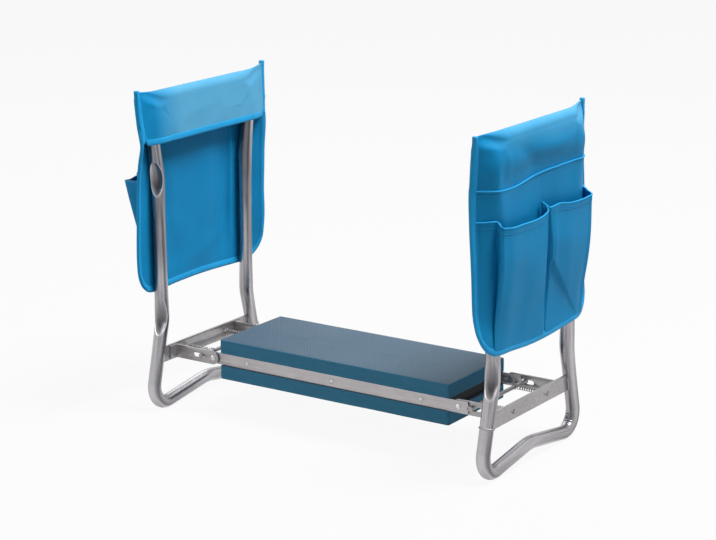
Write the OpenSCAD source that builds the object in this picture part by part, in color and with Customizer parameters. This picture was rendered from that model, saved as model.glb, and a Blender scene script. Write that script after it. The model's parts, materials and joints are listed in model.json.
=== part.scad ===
// Folding garden kneeler: a foam-padded platform between two bent-tube end frames.
// It stands on the floor with +Z up, its length along X, and its origin at floor level
// below the middle of the platform. All sizes are in millimetres.

/* [Platform] */
// Length of both foam pads
pad_l = 400; // [360:1:440]
// Width of both foam pads, front to back
pad_w = 154; // [146:1:170]
// Thickness of one foam pad
pad_t = 22; // [12:0.5:26]
// Radius of the pads' upright corners
pad_corner_r = 2; // [1:0.5:8]
// Height of the side rails and of the board between the pads
rail_h = 17.6; // [15:0.2:19]
// Thickness of the side rails
rail_t = 2; // [1.5:0.1:3]
// How far each pad overhangs the outer face of a rail
pad_overhang = 2; // [0.5:0.5:4]
// How far the board stops short of the pads' ends
board_setback = 7; // [4:0.5:20]
// Distance from the pads' ends to the pivots
pivot_offset = 13.5; // [12.5:0.5:40]
// Height of the pivots above the floor
pivot_z = 84; // [76:0.5:100]
// Spacing of the three screws in each rail
screw_pitch = 152; // [90:1:180]

/* [End frames] */
// Outer diameter of the frame tube
tube_d = 20; // [16:0.5:22]
// Distance from the pivots to the plane of a frame
arm_reach = 72.5; // [68.5:0.5:86.5]
// Half width of the frame at the outer corner of a foot, on the centre line
foot_y = 136; // [125:0.5:150]
// Rise of the floor bar from the feet to its middle, in degrees
bar_rise = 8.4; // [5:0.1:11]
// Lean of the legs between foot and waist, in degrees
leg_lean = 13.2; // [10:0.1:16]
// Height of the waist bend
waist_z = 137; // [130:0.5:150]
// Half width at the shoulder bend
shoulder_y = 107; // [100:0.5:115]
// Height of the shoulder bend
shoulder_z = 356; // [330:1:375]
// Half width of the top bar at its corners
top_y = 124; // [115:0.5:128]
// Height of the top bar's centre line
top_z = 473; // [440:1:500]
// Bend radius at the middle of the floor bar
crown_r = 90; // [60:1:140]
// Bend radius at the feet
foot_r = 28; // [24:1:34]
// Bend radius at the waist and at the shoulder
leg_r = 80; // [50:1:110]
// Bend radius at the top corners
top_r = 36; // [26:1:44]
// Depth of the dish that the bending tool presses into each leg
dish_depth = 4.5; // [2:0.1:6]
// Radius of that tool
dish_r = 72; // [50:1:100]

/* [Crossbars] */
// Height of a crossbar
crossbar_h = 24; // [21:0.5:30]
// Thickness of a crossbar
crossbar_t = 3; // [2:0.1:4]
// Distance of each spring from the middle of the frame
spring_y = 48; // [30:0.5:60]
// Radius of the weld beads
weld_r = 2.4; // [1.8:0.1:3]
// Height of the butt weld that closes each frame's tube, on one leg
joint_z = 78; // [60:0.5:110]
// Radius of that weld
joint_weld_r = 1.3; // [0.8:0.1:2]

/* [Hinge arms and lock] */
// Height of a hinge arm
arm_h = 20.4; // [19:0.2:21]
// Thickness of a hinge arm
arm_t = 2.5; // [2:0.1:3.5]
// Length of the flange that joins an arm to its crossbar
flange_l = 15; // [14:0.5:18]
// Thickness of the washer between an arm and its rail
washer_t = 0.6; // [0.4:0.1:1.2]
// Diameter of the washer
washer_d = 13; // [11:0.5:14]
// Diameter of the pivot rivets' shank
pivot_d = 6; // [5:0.5:8]
// Diameter of the pivot rivets' domed head
pivot_head_d = 9.6; // [8:0.2:12]
// Diameter of the lock rods
rod_d = 6; // [5:0.1:6.4]
// Distance from a pivot to a lock rod in the mouth of its notches
rod_reach = 20.8; // [20.2:0.1:22]
// Depth that a rod sinks into the notches when it locks
notch_depth = 2.4; // [1.5:0.1:2.8]
// Travel of a lock rod from the notches' mouth to its released end
rod_travel = 12; // [8:0.5:14]
// Diameter of a rod's ends, upset so that they keep it in the arms' slots
rod_cap_d = 7.4; // [7.2:0.1:10]
// Diameter of the two rivets in each arm's flange, which lie flush in the crossbar
flange_rivet_d = 3.6; // [3:0.1:4]
// Mean radius of the lock springs
spring_r = 3.1; // [2.8:0.1:4]
// Diameter of the spring wire
wire_d = 1.2; // [1:0.1:1.4]
// Turns of a lock spring
spring_turns = 11; // [8:1:13]

/* [Pouches] */
// Half width of a pouch
pouch_y = 150; // [140:0.5:156]
// Height of the lower edge of the outer panel
panel_z = 181; // [150:1:220]
// Height of the lower edge of the inner flap
flap_z = 410; // [390:1:430]
// Height of the flat pocket's mouth
flat_pocket_z = 417; // [400:1:430]
// Height of the gusset pockets' mouth
gusset_z = 366; // [330:1:380]
// How far the gusset pockets stand out at their mouth
gusset_out = 10; // [6:0.5:10]
// Thickness of a layer of cloth
cloth_t = 1.6; // [1:0.1:2]
// Radius of the panels' lower corners
panel_corner_r = 42; // [20:1:60]
// Width of the sewn seams at the sides of the hood
seam_w = 8; // [4:0.5:12]
// Width of the slanted corners of the inner flap
flap_cut_w = 12; // [4:1:30]
// Height of those corners
flap_cut_h = 30; // [10:1:40]
// Gap between the two gusset pockets
pleat_gap = 3; // [1:0.5:8]
// Width of the binding tape
tape_w = 10; // [4:0.5:14]
// Thickness of the binding tape on each face
tape_t = 0.7; // [0.4:0.1:1.2]

/* [Clearances] */
// Gap between an arm and what lies beside it
side_gap = 0.1; // [0.05:0.05:0.3]
// Radial gap round the pivot rivets in the arms
pivot_gap = 0.08; // [0.03:0.01:0.1]
// Gap between a lock rod and the ends of the rails
rod_gap = 0.3; // [0.2:0.05:0.5]
// Radial gap round a lock rod in its slots and notches
slot_gap = 0.25; // [0.15:0.05:0.4]
// Gap between the cloth and the tube
cloth_gap = 0.35; // [0.3:0.05:1]

/* [Hidden] */
$fn = 64;
tube_r = tube_d / 2;
bend_neck = 0.05;
bend_run_in = 0.5;
rod_r = rod_d / 2;
rail_y = pad_w / 2 - pad_overhang;
rail_bottom = pivot_z - rail_h / 2;
pivot_x = pad_l / 2 + pivot_offset;
frame_x = pivot_x + arm_reach;
arm_end_r = arm_h / 2;
screw_d = 4;
screw_l = 18;
screw_head_d = 7.6;
screw_head_h = 2.4;
screw_crown = 0.6;
recess_w = 1.1;
recess_l = 4.6;
recess_depth = 1.1;
head_h = 2.4;
upset_h = 2;
upset_d = 9.5;
cap_h = 1.2;
flange_rivet_head_d = 6;
flange_rivet_head_h = 0.6;
flange_sink_h = 1.2;
weld_setback = 1.5;
tail_r = rod_reach - rod_r - rod_gap;
seat_reach = tail_r - notch_depth + rod_r + slot_gap;
arm_root = arm_reach - crossbar_t / 2;
hook_gap = 0.4;
hook_r = rod_r + hook_gap + wire_d / 2;
wire_hole_gap = 1.9;
wire_hole_d = wire_d + 2 * wire_hole_gap;
wire_out = 1.2;
wire_bend = 0.8;
wire_turn = 2.4;
wire_seat_gap = 0.15;
wire_drop = wire_hole_gap - wire_seat_gap;
coil_run_in = 1;
coil_run_out = 4;
coil_start = rod_reach + hook_r + coil_run_in;
coil_end = arm_root - coil_run_out;
sleeve_r = tube_r + cloth_gap;
pocket_foot_rise = 1;
pocket_foot = tape_w + pocket_foot_rise;
pocket_nose = 4;
pleat_lean = 1;
tip_h = 6;
tip_w = 10;

// Outline of the floor-standing loop. The corner points come from the leans and heights,
// and the foot is set so that the lowest tube of each corner touches the floor.
to_crown = [-cos(bar_rise), sin(bar_rise)];
to_waist = [-sin(leg_lean), cos(leg_lean)];
foot_bisector = (to_crown + to_waist) / norm(to_crown + to_waist);
foot_half_angle = acos(to_crown * to_waist) / 2;
foot_z = tube_r - bend_neck + foot_r - foot_r * foot_bisector[1] / sin(foot_half_angle);
crown_z = foot_z + foot_y * tan(bar_rise);
waist_y = foot_y - (waist_z - foot_z) * tan(leg_lean);
top_flare = atan2(top_y - shoulder_y, top_z - shoulder_z);
corner_y = top_y - top_r * (tan(45 + top_flare / 2) * sin(top_flare) + cos(top_flare) - 1);
loop_points = [
    [0, crown_z], [foot_y, foot_z], [waist_y, waist_z], [shoulder_y, shoulder_z], [top_y, top_z],
    [-top_y, top_z], [-shoulder_y, shoulder_z], [-waist_y, waist_z], [-foot_y, foot_z]];
loop_radii = [crown_r, foot_r, leg_r, leg_r, top_r, top_r, leg_r, leg_r, foot_r];

foam = "#3f7391";
steel = "#b4b0b4";
bright_steel = "#cfcdd0";
dark_board = "#23282c";
cloth_blue = "#1f86c0";
tape_blue = "#2f9ad2";

// Helpers

// Unit vector along v
function unit(v) = v / norm(v);

// Tangent length of a bend at point i of a closed outline
function turn(points, i) =
    let (n = len(points), a = unit(points[i] - points[(i + n - 1) % n]),
         b = unit(points[(i + 1) % n] - points[i]))
    atan2(a[0] * b[1] - a[1] * b[0], a * b);

function tangent_l(points, radii, i) = radii[i] * tan(abs(turn(points, i)) / 2);

// A tube along a closed outline in the YZ plane, with an arc at every point
module bent_loop(points, radii, d) {
    n = len(points);
    for (i = [0 : n - 1]) {
        a = unit(points[(i + 1) % n] - points[i]);
        start = points[i] + a * tangent_l(points, radii, i);
        stop = points[(i + 1) % n] - a * tangent_l(points, radii, (i + 1) % n);
        translate([0, start[0], start[1]])
            rotate([atan2(-a[0], a[1]), 0, 0])
                cylinder(d = d, h = norm(stop - start), $fn = 32);
        bend(points, radii, d, i);
    }
}

// The arc at one point of that outline. It is drawn in a little, as a tube is by bending, and
// its ends run a short way into the straight stretches.
module bend(points, radii, d, i) {
    n = len(points);
    before = unit(points[i] - points[(i + n - 1) % n]);
    t = turn(points, i);
    start = points[i] - before * tangent_l(points, radii, i);
    centre = start + sign(t) * radii[i] * [-before[1], before[0]];
    from = atan2(start[1] - centre[1], start[0] - centre[0]);
    extra = asin(bend_run_in / radii[i]);
    translate([0, centre[0], centre[1]])
        rotate([90, 0, 90])
            rotate([0, 0, (t > 0 ? from : from + t) - extra])
                rotate_extrude(angle = abs(t) + 2 * extra, $fn = 72)
                    translate([radii[i], 0])
                        circle(d = d - 2 * bend_neck, $fn = 32);
}

// Rounded rectangle centred on the origin
module rounded(size, r) {
    square([size[0] - 2 * r, size[1]], center = true);
    square([size[0], size[1] - 2 * r], center = true);
    for (x = [-1, 1], y = [-1, 1])
        translate([x * (size[0] / 2 - r), y * (size[1] / 2 - r)])
            circle(r = r);
}

// A round piece along Y, from y0 to y1, at place [x, z]
module along_y(d, y0, y1, place) {
    translate([place[0], min(y0, y1), place[1]])
        rotate([-90, 0, 0])
            cylinder(d = d, h = abs(y1 - y0));
}

// Everything of an end is drawn for the right side; the left side is it turned half round
module end_side(side) {
    rotate([0, 0, side > 0 ? 0 : 180])
        children();
}

// Platform

module pad(z) {
    color(foam)
        translate([0, 0, z])
            linear_extrude(height = pad_t)
                rounded([pad_l, pad_w], pad_corner_r);
}

module upper_pad() {
    pad(pivot_z + rail_h / 2);
}

module lower_pad() {
    pad(rail_bottom - pad_t);
}

module platform_board() {
    color(dark_board)
        difference() {
            translate([0, 0, pivot_z])
                cube([pad_l - 2 * board_setback, 2 * (rail_y - rail_t), rail_h], center = true);
            for (side = [-1, 1], i = [-1 : 1])
                along_y(screw_d, side * (rail_y - screw_l - rail_t), side * rail_y,
                    [i * screw_pitch, pivot_z]);
        }
}

// A flat rail whose ends are arcs about the pivots, notched for the lock rods
module rail(side) {
    color(bright_steel)
        translate([0, side * (rail_y - rail_t / 2), pivot_z])
            rotate([90, 0, 0])
                linear_extrude(height = rail_t, center = true)
                    rail_outline();
}

module rail_outline() {
    difference() {
        intersection() {
            square([2 * (pivot_x + tail_r), rail_h], center = true);
            union() {
                square([2 * pivot_x, rail_h], center = true);
                for (end = [-1, 1])
                    translate([end * pivot_x, 0])
                        circle(r = tail_r);
            }
        }
        for (end = [-1, 1]) {
            translate([end * pivot_x, 0])
                circle(d = pivot_d + 2 * pivot_gap);
            translate([end * (pivot_x + seat_reach), 0])
                circle(r = rod_r + slot_gap);
        }
        for (i = [-1 : 1])
            translate([i * screw_pitch, 0])
                circle(d = screw_d);
    }
}

module front_rail() {
    rail(-1);
}

module rear_rail() {
    rail(1);
}

// Pan-head screw pointing along +Y from its head at the origin
module pan_screw() {
    rotate([-90, 0, 0])
        difference() {
            union() {
                cylinder(d = screw_d, h = screw_l);
                intersection() {
                    translate([0, 0, -screw_head_h])
                        cylinder(d = screw_head_d, h = screw_head_h);
                    translate([0, 0, screw_head_d / 2 - screw_head_h + screw_crown])
                        sphere(r = screw_head_d / 2 + screw_crown);
                }
            }
            for (turn_by = [0, 90])
                rotate([0, 0, turn_by])
                    translate([0, 0, -screw_head_h])
                        cube([recess_l, recess_w, 2 * recess_depth], center = true);
        }
}

module rail_screws(side) {
    color(bright_steel)
        for (i = [-1 : 1])
            translate([i * screw_pitch, side * rail_y, pivot_z])
                rotate([0, 0, side > 0 ? 180 : 0])
                    pan_screw();
}

module front_rail_screws() {
    rail_screws(-1);
}

module rear_rail_screws() {
    rail_screws(1);
}

// Pivots. On each end the rear arm lies outside its rail and the front arm inside it.
// Positions below are distances from the middle of the object along Y.
outer_arm_y = rail_y + washer_t + side_gap;
inner_arm_y = rail_y - rail_t - washer_t - side_gap - arm_t;

// Domed rivet along Y: head beyond y_head, upset end beyond y_foot, both away from the shank
module pivot_rivet(y_foot, y_head) {
    away = sign(y_head - y_foot);
    along_y(pivot_d, y_foot - away * upset_h, y_head, [pivot_x, pivot_z]);
    along_y(upset_d, y_foot - away * upset_h, y_foot, [pivot_x, pivot_z]);
    translate([pivot_x, y_head, pivot_z])
        rotate([-90 * away, 0, 0])
            dome(pivot_head_d, head_h);
}

// Segment of a sphere standing on the XY plane
module dome(d, h) {
    r = (d * d / 4 + h * h) / (2 * h);
    intersection() {
        translate([0, 0, h - r])
            sphere(r = r);
        cylinder(d = d + 1, h = h + 1);
    }
}

module pivot_rivets(side) {
    color(bright_steel)
        end_side(side) {
            pivot_rivet(rail_y - rail_t, outer_arm_y + arm_t + side_gap);
            pivot_rivet(-inner_arm_y + side_gap, -rail_y);
        }
}

module left_pivot_rivets() {
    pivot_rivets(-1);
}

module right_pivot_rivets() {
    pivot_rivets(1);
}

module washer(y0, y1) {
    difference() {
        along_y(washer_d, y0, y1, [pivot_x, pivot_z]);
        along_y(pivot_d + 2 * pivot_gap, y0 - 1, y1 + 1, [pivot_x, pivot_z]);
    }
}

module pivot_washers(side) {
    color(steel)
        end_side(side) {
            washer(rail_y, rail_y + washer_t);
            washer(-rail_y + rail_t, -rail_y + rail_t + washer_t);
        }
}

module left_pivot_washers() {
    pivot_washers(-1);
}

module right_pivot_washers() {
    pivot_washers(1);
}

// End frames

module frame_tube(side) {
    color(steel)
        end_side(side)
            difference() {
                translate([frame_x, 0, 0])
                    bent_loop(loop_points, loop_radii, tube_d);
                for (s = [-1, 1]) {
                    dish(s * waist_y, waist_z, s);
                    dish(s * shoulder_y, shoulder_z, s);
                }
            }
}

// Shallow dish pressed into the outer side of a leg at a bend
module dish(y, z, s) {
    bend_offset = leg_r * (1 / cos(leg_lean / 2) - 1);
    translate([frame_x, y + s * (tube_r + dish_r - dish_depth + bend_offset), z])
        rotate([0, 90, 0])
            cylinder(r = dish_r, h = 2 * tube_d, center = true, $fn = 128);
}

module left_frame_tube() {
    frame_tube(-1);
}

module right_frame_tube() {
    frame_tube(1);
}

// Half width of the leg's centre line at height z, between foot and waist
function leg_y(z) = waist_y + (waist_z - z) * tan(leg_lean);

// Straight stretch of a leg, for cutting what is welded to it
module leg_stretch(s, d) {
    translate([frame_x, s * leg_y(pivot_z), pivot_z])
        rotate([s * leg_lean, 0, 0])
            cylinder(d = d, h = 3 * crossbar_h, center = true);
}

module crossbar_body() {
    translate([frame_x, 0, pivot_z])
        cube([crossbar_t, 2 * leg_y(pivot_z), crossbar_h], center = true);
}

module crossbar(side) {
    color(steel)
        end_side(side)
            difference() {
                crossbar_body();
                for (s = [-1, 1]) {
                    leg_stretch(s, tube_d);
                    translate([frame_x, s * spring_y, pivot_z])
                        rotate([0, 90, 0])
                            cylinder(d = wire_hole_d, h = 2 * crossbar_t, center = true);
                    flange_holes(s);
                    flange_rivet_places(s)
                        rivet_sink();
                }
            }
}

module left_crossbar() {
    crossbar(-1);
}

module right_crossbar() {
    crossbar(1);
}

// Weld beads in the corners between crossbar and legs
module weld_beads(side) {
    color(steel)
        end_side(side)
            difference() {
                union() {
                    for (s = [-1, 1], face = [-1, 1])
                        translate([frame_x + face * crossbar_t / 2, s * leg_y(pivot_z), pivot_z])
                            rotate([s * leg_lean, 0, 0])
                                translate([0, -s * tube_r, 0])
                                    cylinder(r = weld_r, h = crossbar_h - 2 * weld_setback, center = true);
                    joint_ring(-1);
                }
                crossbar_body();
                for (s = [-1, 1])
                    leg_stretch(s, tube_d);
            }
}

// Butt weld round the leg on side s
module joint_ring(s) {
    translate([frame_x, s * leg_y(joint_z), joint_z])
        rotate([s * leg_lean, 0, 0])
            rotate_extrude()
                translate([tube_r, 0])
                    circle(r = joint_weld_r, $fn = 32);
}

module left_weld_beads() {
    weld_beads(-1);
}

module right_weld_beads() {
    weld_beads(1);
}

// Hinge arms. y is the face nearer the middle; flange_dir is the way its flange turns.
module hinge_arm(y, flange_dir) {
    difference() {
        union() {
            translate([pivot_x, y, pivot_z])
                rotate([90, 0, 0])
                    translate([0, 0, -arm_t])
                        linear_extrude(height = arm_t) {
                            circle(r = arm_end_r);
                            translate([0, -arm_end_r])
                                square([arm_root, arm_h]);
                        }
            translate([pivot_x + arm_root - arm_t, flange_dir > 0 ? y : y + arm_t - flange_l,
                    pivot_z - arm_end_r])
                cube([arm_t, flange_l, arm_h]);
        }
        along_y(pivot_d + 2 * pivot_gap, y - 1, y + arm_t + 1, [pivot_x, pivot_z]);
        rod_slot(y - 1, y + arm_t + 1);
        flange_holes(sign(y));
    }
}

module rod_slot(y0, y1) {
    w = rod_d + 2 * slot_gap;
    first = pivot_x + seat_reach;
    last = pivot_x + rod_reach + rod_travel;
    for (x = [first, last])
        along_y(w, y0, y1, [x, pivot_z]);
    translate([first, y0, pivot_z - w / 2])
        cube([last - first, y1 - y0, w]);
}

// Middle of the flange of the arm on side s of the frame
function flange_y(s) = s > 0 ? outer_arm_y + (arm_t + flange_l) / 2
                             : -inner_arm_y - arm_t - (flange_l - arm_t) / 2;

// Places of the two rivets there, with their outer end along +Z
module flange_rivet_places(s) {
    for (k = [-1, 1])
        translate([frame_x, flange_y(s), pivot_z + k * crossbar_h / 4])
            rotate([0, 90, 0])
                children();
}

module flange_holes(s) {
    flange_rivet_places(s)
        cylinder(d = flange_rivet_d, h = 4 * crossbar_t + 4 * arm_t, center = true);
}

// Cone in the crossbar's outer face that a rivet's end fills
module rivet_sink() {
    translate([0, 0, crossbar_t / 2 - flange_sink_h])
        cylinder(d1 = flange_rivet_d, d2 = flange_rivet_head_d, h = flange_sink_h);
}

module outer_arm() {
    hinge_arm(outer_arm_y, 1);
}

module inner_arm() {
    hinge_arm(-inner_arm_y - arm_t, -1);
}

module left_front_arm() {
    color(steel)
        end_side(-1)
            outer_arm();
}

module left_rear_arm() {
    color(steel)
        end_side(-1)
            inner_arm();
}

module right_front_arm() {
    color(steel)
        end_side(1)
            inner_arm();
}

module right_rear_arm() {
    color(steel)
        end_side(1)
            outer_arm();
}

// Rivets that hold the arms' flanges to the crossbar
module arm_rivets(side) {
    color(bright_steel)
        end_side(side)
            for (s = [-1, 1])
                flange_rivet_places(s) {
                    translate([0, 0, -crossbar_t / 2 - arm_t])
                        cylinder(d = flange_rivet_d, h = crossbar_t + arm_t);
                    rivet_sink();
                    translate([0, 0, -crossbar_t / 2 - arm_t])
                        mirror([0, 0, 1])
                            dome(flange_rivet_head_d, flange_rivet_head_h);
                }
}

module left_arm_rivets() {
    arm_rivets(-1);
}

module right_arm_rivets() {
    arm_rivets(1);
}

// Lock rods and their springs

module lock_rod(side) {
    rod_end_out = outer_arm_y + arm_t + side_gap;
    rod_end_in = rail_y + side_gap;
    color(bright_steel)
        end_side(side) {
            along_y(rod_d, -rod_end_in, rod_end_out, [pivot_x + rod_reach, pivot_z]);
            along_y(rod_cap_d, rod_end_out, rod_end_out + cap_h, [pivot_x + rod_reach, pivot_z]);
            along_y(rod_cap_d, -rod_end_in - cap_h, -rod_end_in, [pivot_x + rod_reach, pivot_z]);
        }
}

module left_lock_rod() {
    lock_rod(-1);
}

module right_lock_rod() {
    lock_rod(1);
}

// Centre line of a lock spring, from its hook round the rod, along the coil, to the end that
// passes through the crossbar and hooks over the lower edge of its hole. x is measured from
// the pivot, y and z from the axis.
hook_steps = 10;
turn_steps = 8;
coil_steps = spring_turns * turn_steps;
wire_end = arm_root + crossbar_t + wire_out;
spring_path = [
    for (i = [0 : hook_steps])
        let (a = 310 - 220 * i / hook_steps)
        [rod_reach + hook_r * cos(a), 0, hook_r * sin(a)],
    for (i = [0 : coil_steps])
        let (a = 90 + 360 * i / turn_steps, t = i / coil_steps)
        [coil_start + (coil_end - coil_start) * t, spring_r * cos(a), spring_r * sin(a)],
    [coil_end + 0.35 * coil_run_out, -spring_r / 3, spring_r * 0.62],
    [coil_end + 0.65 * coil_run_out, 0, -wire_drop / 3],
    [arm_root, 0, -wire_drop],
    [wire_end - wire_bend, 0, -wire_drop],
    [wire_end, 0, -wire_drop - wire_turn / 4],
    [wire_end + wire_bend / 4, 0, -wire_drop - wire_turn]];

// Directions along a path, and a side vector carried along it without twist
function path_dirs(p) = [for (i = [0 : len(p) - 1]) unit(p[min(i + 1, len(p) - 1)] - p[max(i - 1, 0)])];
function carried(v, t) = unit(v - (v * t) * t);
function path_sides(t) = [for (i = 0, v = carried([0, 1, 0], t[0]); i < len(t);
    i = i + 1, v = carried(v, t[min(i, len(t) - 1)])) v];

// A tube with six sides along a path
module wire(p, d) {
    sides = 6;
    n = len(p);
    t = path_dirs(p);
    u = path_sides(t);
    rings = [for (i = [0 : n - 1], k = [0 : sides - 1])
        p[i] + d / 2 * (cos(360 * k / sides) * u[i] + sin(360 * k / sides) * cross(t[i], u[i]))];
    quads = [for (i = [0 : n - 2], k = [0 : sides - 1])
        let (a = i * sides + k, b = i * sides + (k + 1) % sides)
        [a, b, b + sides, a + sides]];
    faces = concat(
        [for (q = quads) [q[0], q[3], q[2]]], [for (q = quads) [q[0], q[2], q[1]]],
        [for (k = [1 : sides - 2]) [0, k, k + 1]],
        [for (k = [1 : sides - 2]) (n - 1) * sides * [1, 1, 1] + [0, k + 1, k]]);
    polyhedron(points = rings, faces = faces);
}

// Least distance between points of a path that are more than a turn's half apart, less the wire
function least_gap(p, d) = min([for (i = [0 : len(p) - 1], j = [i + 5 : 1 : len(p) - 1])
    norm(p[i] - p[j])]) - d;

module lock_spring(side, s) {
    color(bright_steel)
        end_side(side)
            translate([pivot_x, s * spring_y, pivot_z])
                wire(spring_path, wire_d);
}

module left_front_spring() {
    echo(least_gap_of_spring = least_gap(spring_path, wire_d));
    lock_spring(-1, 1);
}

module left_rear_spring() {
    lock_spring(-1, -1);
}

module right_front_spring() {
    lock_spring(1, -1);
}

module right_rear_spring() {
    lock_spring(1, 1);
}

// Pouches. A hood, sewn shut at both sides, hangs over the top bar with a short flap inside
// and a long panel outside. The flat pocket and the gusset pockets are sewn to that panel.
// In plan every layer runs flat over the tube and then slants to the side seam, tangent to a
// circle about the widest place of the tube. r is the layer's distance from the frame's plane.
panel_r = sleeve_r + cloth_t;
flat_r = panel_r + cloth_t;
taper = asin(sleeve_r / (pouch_y - corner_y));
hood_top = top_z + panel_r;

// Distance from the frame's plane to a layer at half width y
function layer_x(r, y) = min(r, (r - sleeve_r) / cos(taper) + (pouch_y - y) * tan(taper));

// Half width at which a layer starts to slant
function bend_y(r) = corner_y + r * tan(taper / 2);

// Points of one layer's face in plan, from its front edge to its rear edge
function layer_line(r) = [
    [frame_x + layer_x(r, pouch_y), -pouch_y], [frame_x + r, -bend_y(r)],
    [frame_x + r, bend_y(r)], [frame_x + layer_x(r, pouch_y), pouch_y]];

// Plan of the layer between two faces
module layer_plan(r0, r1) {
    back = layer_line(r0);
    polygon(concat(layer_line(r1), [for (i = [3 : -1 : 0]) back[i]]));
}

// Plan of all that lies inside a layer's face, on both sides of the frame's plane
module inside_plan(r) {
    right = layer_line(r);
    polygon(concat(right, [for (i = [3 : -1 : 0]) [2 * frame_x - right[i][0], right[i][1]]]));
}

// Outline of the long panel in the YZ plane, drawn in by inset all round but at its top
module panel_outline(inset, top) {
    r = panel_corner_r - inset;
    low = panel_z + inset;
    half = pouch_y - inset;
    translate([-half, low + r])
        square([2 * half, top - low - r]);
    translate([-half + r, low])
        square([2 * (half - r), top - low]);
    for (s = [-1, 1])
        translate([s * (half - r), low + r])
            circle(r = r);
}

// Stands a YZ outline across a pouch
module across(depth) {
    translate([frame_x - depth, 0, 0])
        rotate([90, 0, 90])
            linear_extrude(height = 2 * depth)
                children();
}

module upright(z0, z1) {
    translate([0, 0, z0])
        linear_extrude(height = z1 - z0)
            children();
}

module pouch_cover(side) {
    color(cloth_blue)
        end_side(side) {
            hood();
            intersection() {
                upright(panel_z, top_z)
                    layer_plan(sleeve_r, panel_r);
                across(2 * flat_r)
                    panel_outline(0, top_z);
            }
        }
}

// Body of the hood at distance r from the frame's plane: round over the bar, flat below
module hood_body(r, z0) {
    intersection() {
        upright(z0, hood_top + 1)
            inside_plan(r);
        union() {
            translate([frame_x, 0, top_z])
                rotate([90, 0, 0])
                    cylinder(r = r, h = 2 * pouch_y + 2, center = true);
            translate([frame_x - r, -pouch_y - 1, z0])
                cube([2 * r, 2 * pouch_y + 2, top_z - z0]);
        }
    }
}

module hood() {
    difference() {
        union() {
            hood_body(panel_r, flap_z);
            for (s = [-1, 1])
                corner_tip(s);
        }
        intersection() {
            hood_body(sleeve_r, flap_z - 1);
            translate([frame_x - 2 * sleeve_r, -pouch_y + seam_w, 0])
                cube([4 * sleeve_r, 2 * (pouch_y - seam_w), 2 * top_z]);
        }
        for (s = [-1, 1])
            flap_corner_cut(s);
    }
}

// Slanted corner of the inner flap
module flap_corner_cut(s) {
    translate([frame_x - 2 * panel_r, 0, 0])
        rotate([90, 0, 90])
            linear_extrude(height = 2 * panel_r)
                polygon([[s * (pouch_y - flap_cut_w), flap_z - 1], [s * (pouch_y + 1), flap_z - 1],
                    [s * (pouch_y + 1), flap_z + flap_cut_h], [s * pouch_y, flap_z + flap_cut_h],
                    [s * (pouch_y - flap_cut_w), flap_z]]);
}

// Pointed end of the ridge, where the two layers are sewn together
module corner_tip(s) {
    tip_t = layer_x(panel_r, pouch_y);
    translate([frame_x - tip_t, 0, 0])
        rotate([90, 0, 90])
            linear_extrude(height = 2 * tip_t)
                polygon([[s * pouch_y, top_z], [s * pouch_y, hood_top + tip_h],
                    [s * (pouch_y - tip_w), hood_top - cloth_t / 2], [s * (pouch_y - tip_w), top_z]]);
}

module left_pouch_cover() {
    pouch_cover(-1);
}

module right_pouch_cover() {
    pouch_cover(1);
}

module flat_pocket(side) {
    color(cloth_blue)
        end_side(side)
            intersection() {
                upright(panel_z, flat_pocket_z)
                    layer_plan(panel_r, flat_r);
                across(2 * flat_r)
                    panel_outline(tape_w, flat_pocket_z);
            }
}

module left_flat_pocket() {
    flat_pocket(-1);
}

module right_flat_pocket() {
    flat_pocket(1);
}

// Two pockets side by side, flat at the bottom and standing out at the mouth
module gusset_pockets(side) {
    low = panel_z + pocket_foot;
    half = pouch_y - tape_w;
    color(cloth_blue)
        end_side(side)
            intersection() {
                difference() {
                    for (s = [-1, 1])
                        pocket_form(s, pleat_gap / 2, half, cloth_t, gusset_out, low, gusset_z);
                    for (s = [-1, 1])
                        pocket_form(s, pleat_gap / 2 + cloth_t, half - cloth_t, 0,
                            gusset_out - cloth_t, low + 3 * cloth_t, gusset_z + 1);
                    upright(panel_z, gusset_z + 2)
                        inside_plan(flat_r);
                }
                across(3 * flat_r)
                    panel_outline(tape_w, gusset_z);
            }
}

// One pocket between the half widths y0 and y1: rise thick at z0 and standing out at z1
module pocket_form(s, y0, y1, rise, out, z0, z1) {
    e = 0.01;
    knee = bend_y(flat_r);
    hull() {
        upright(z0, z0 + e)
            polygon([[frame_x, s * y0], [frame_x + flat_r + rise, s * y0],
                [frame_x + flat_r + rise, s * knee],
                [frame_x + layer_x(flat_r, y1) + rise, s * y1], [frame_x, s * y1]]);
        upright(z1 - e, z1)
            polygon([[frame_x, s * y0], [frame_x + flat_r + out, s * (y0 + pleat_lean)],
                [frame_x + flat_r + out, s * (y1 - pocket_nose)],
                [frame_x + flat_r + out - pocket_nose, s * y1], [frame_x, s * y1]]);
    }
}

module left_gusset_pockets() {
    gusset_pockets(-1);
}

module right_gusset_pockets() {
    gusset_pockets(1);
}

// Tape folded over the edges of the long panel
module pouch_binding(side) {
    color(tape_blue)
        end_side(side)
            intersection() {
                upright(panel_z, flat_pocket_z)
                    layer_plan(panel_r, flat_r + tape_t);
                across(2 * flat_r)
                    difference() {
                        panel_outline(0, flat_pocket_z);
                        panel_outline(tape_w, flat_pocket_z + 1);
                    }
            }
}

module left_pouch_binding() {
    pouch_binding(-1);
}

module right_pouch_binding() {
    pouch_binding(1);
}

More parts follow.
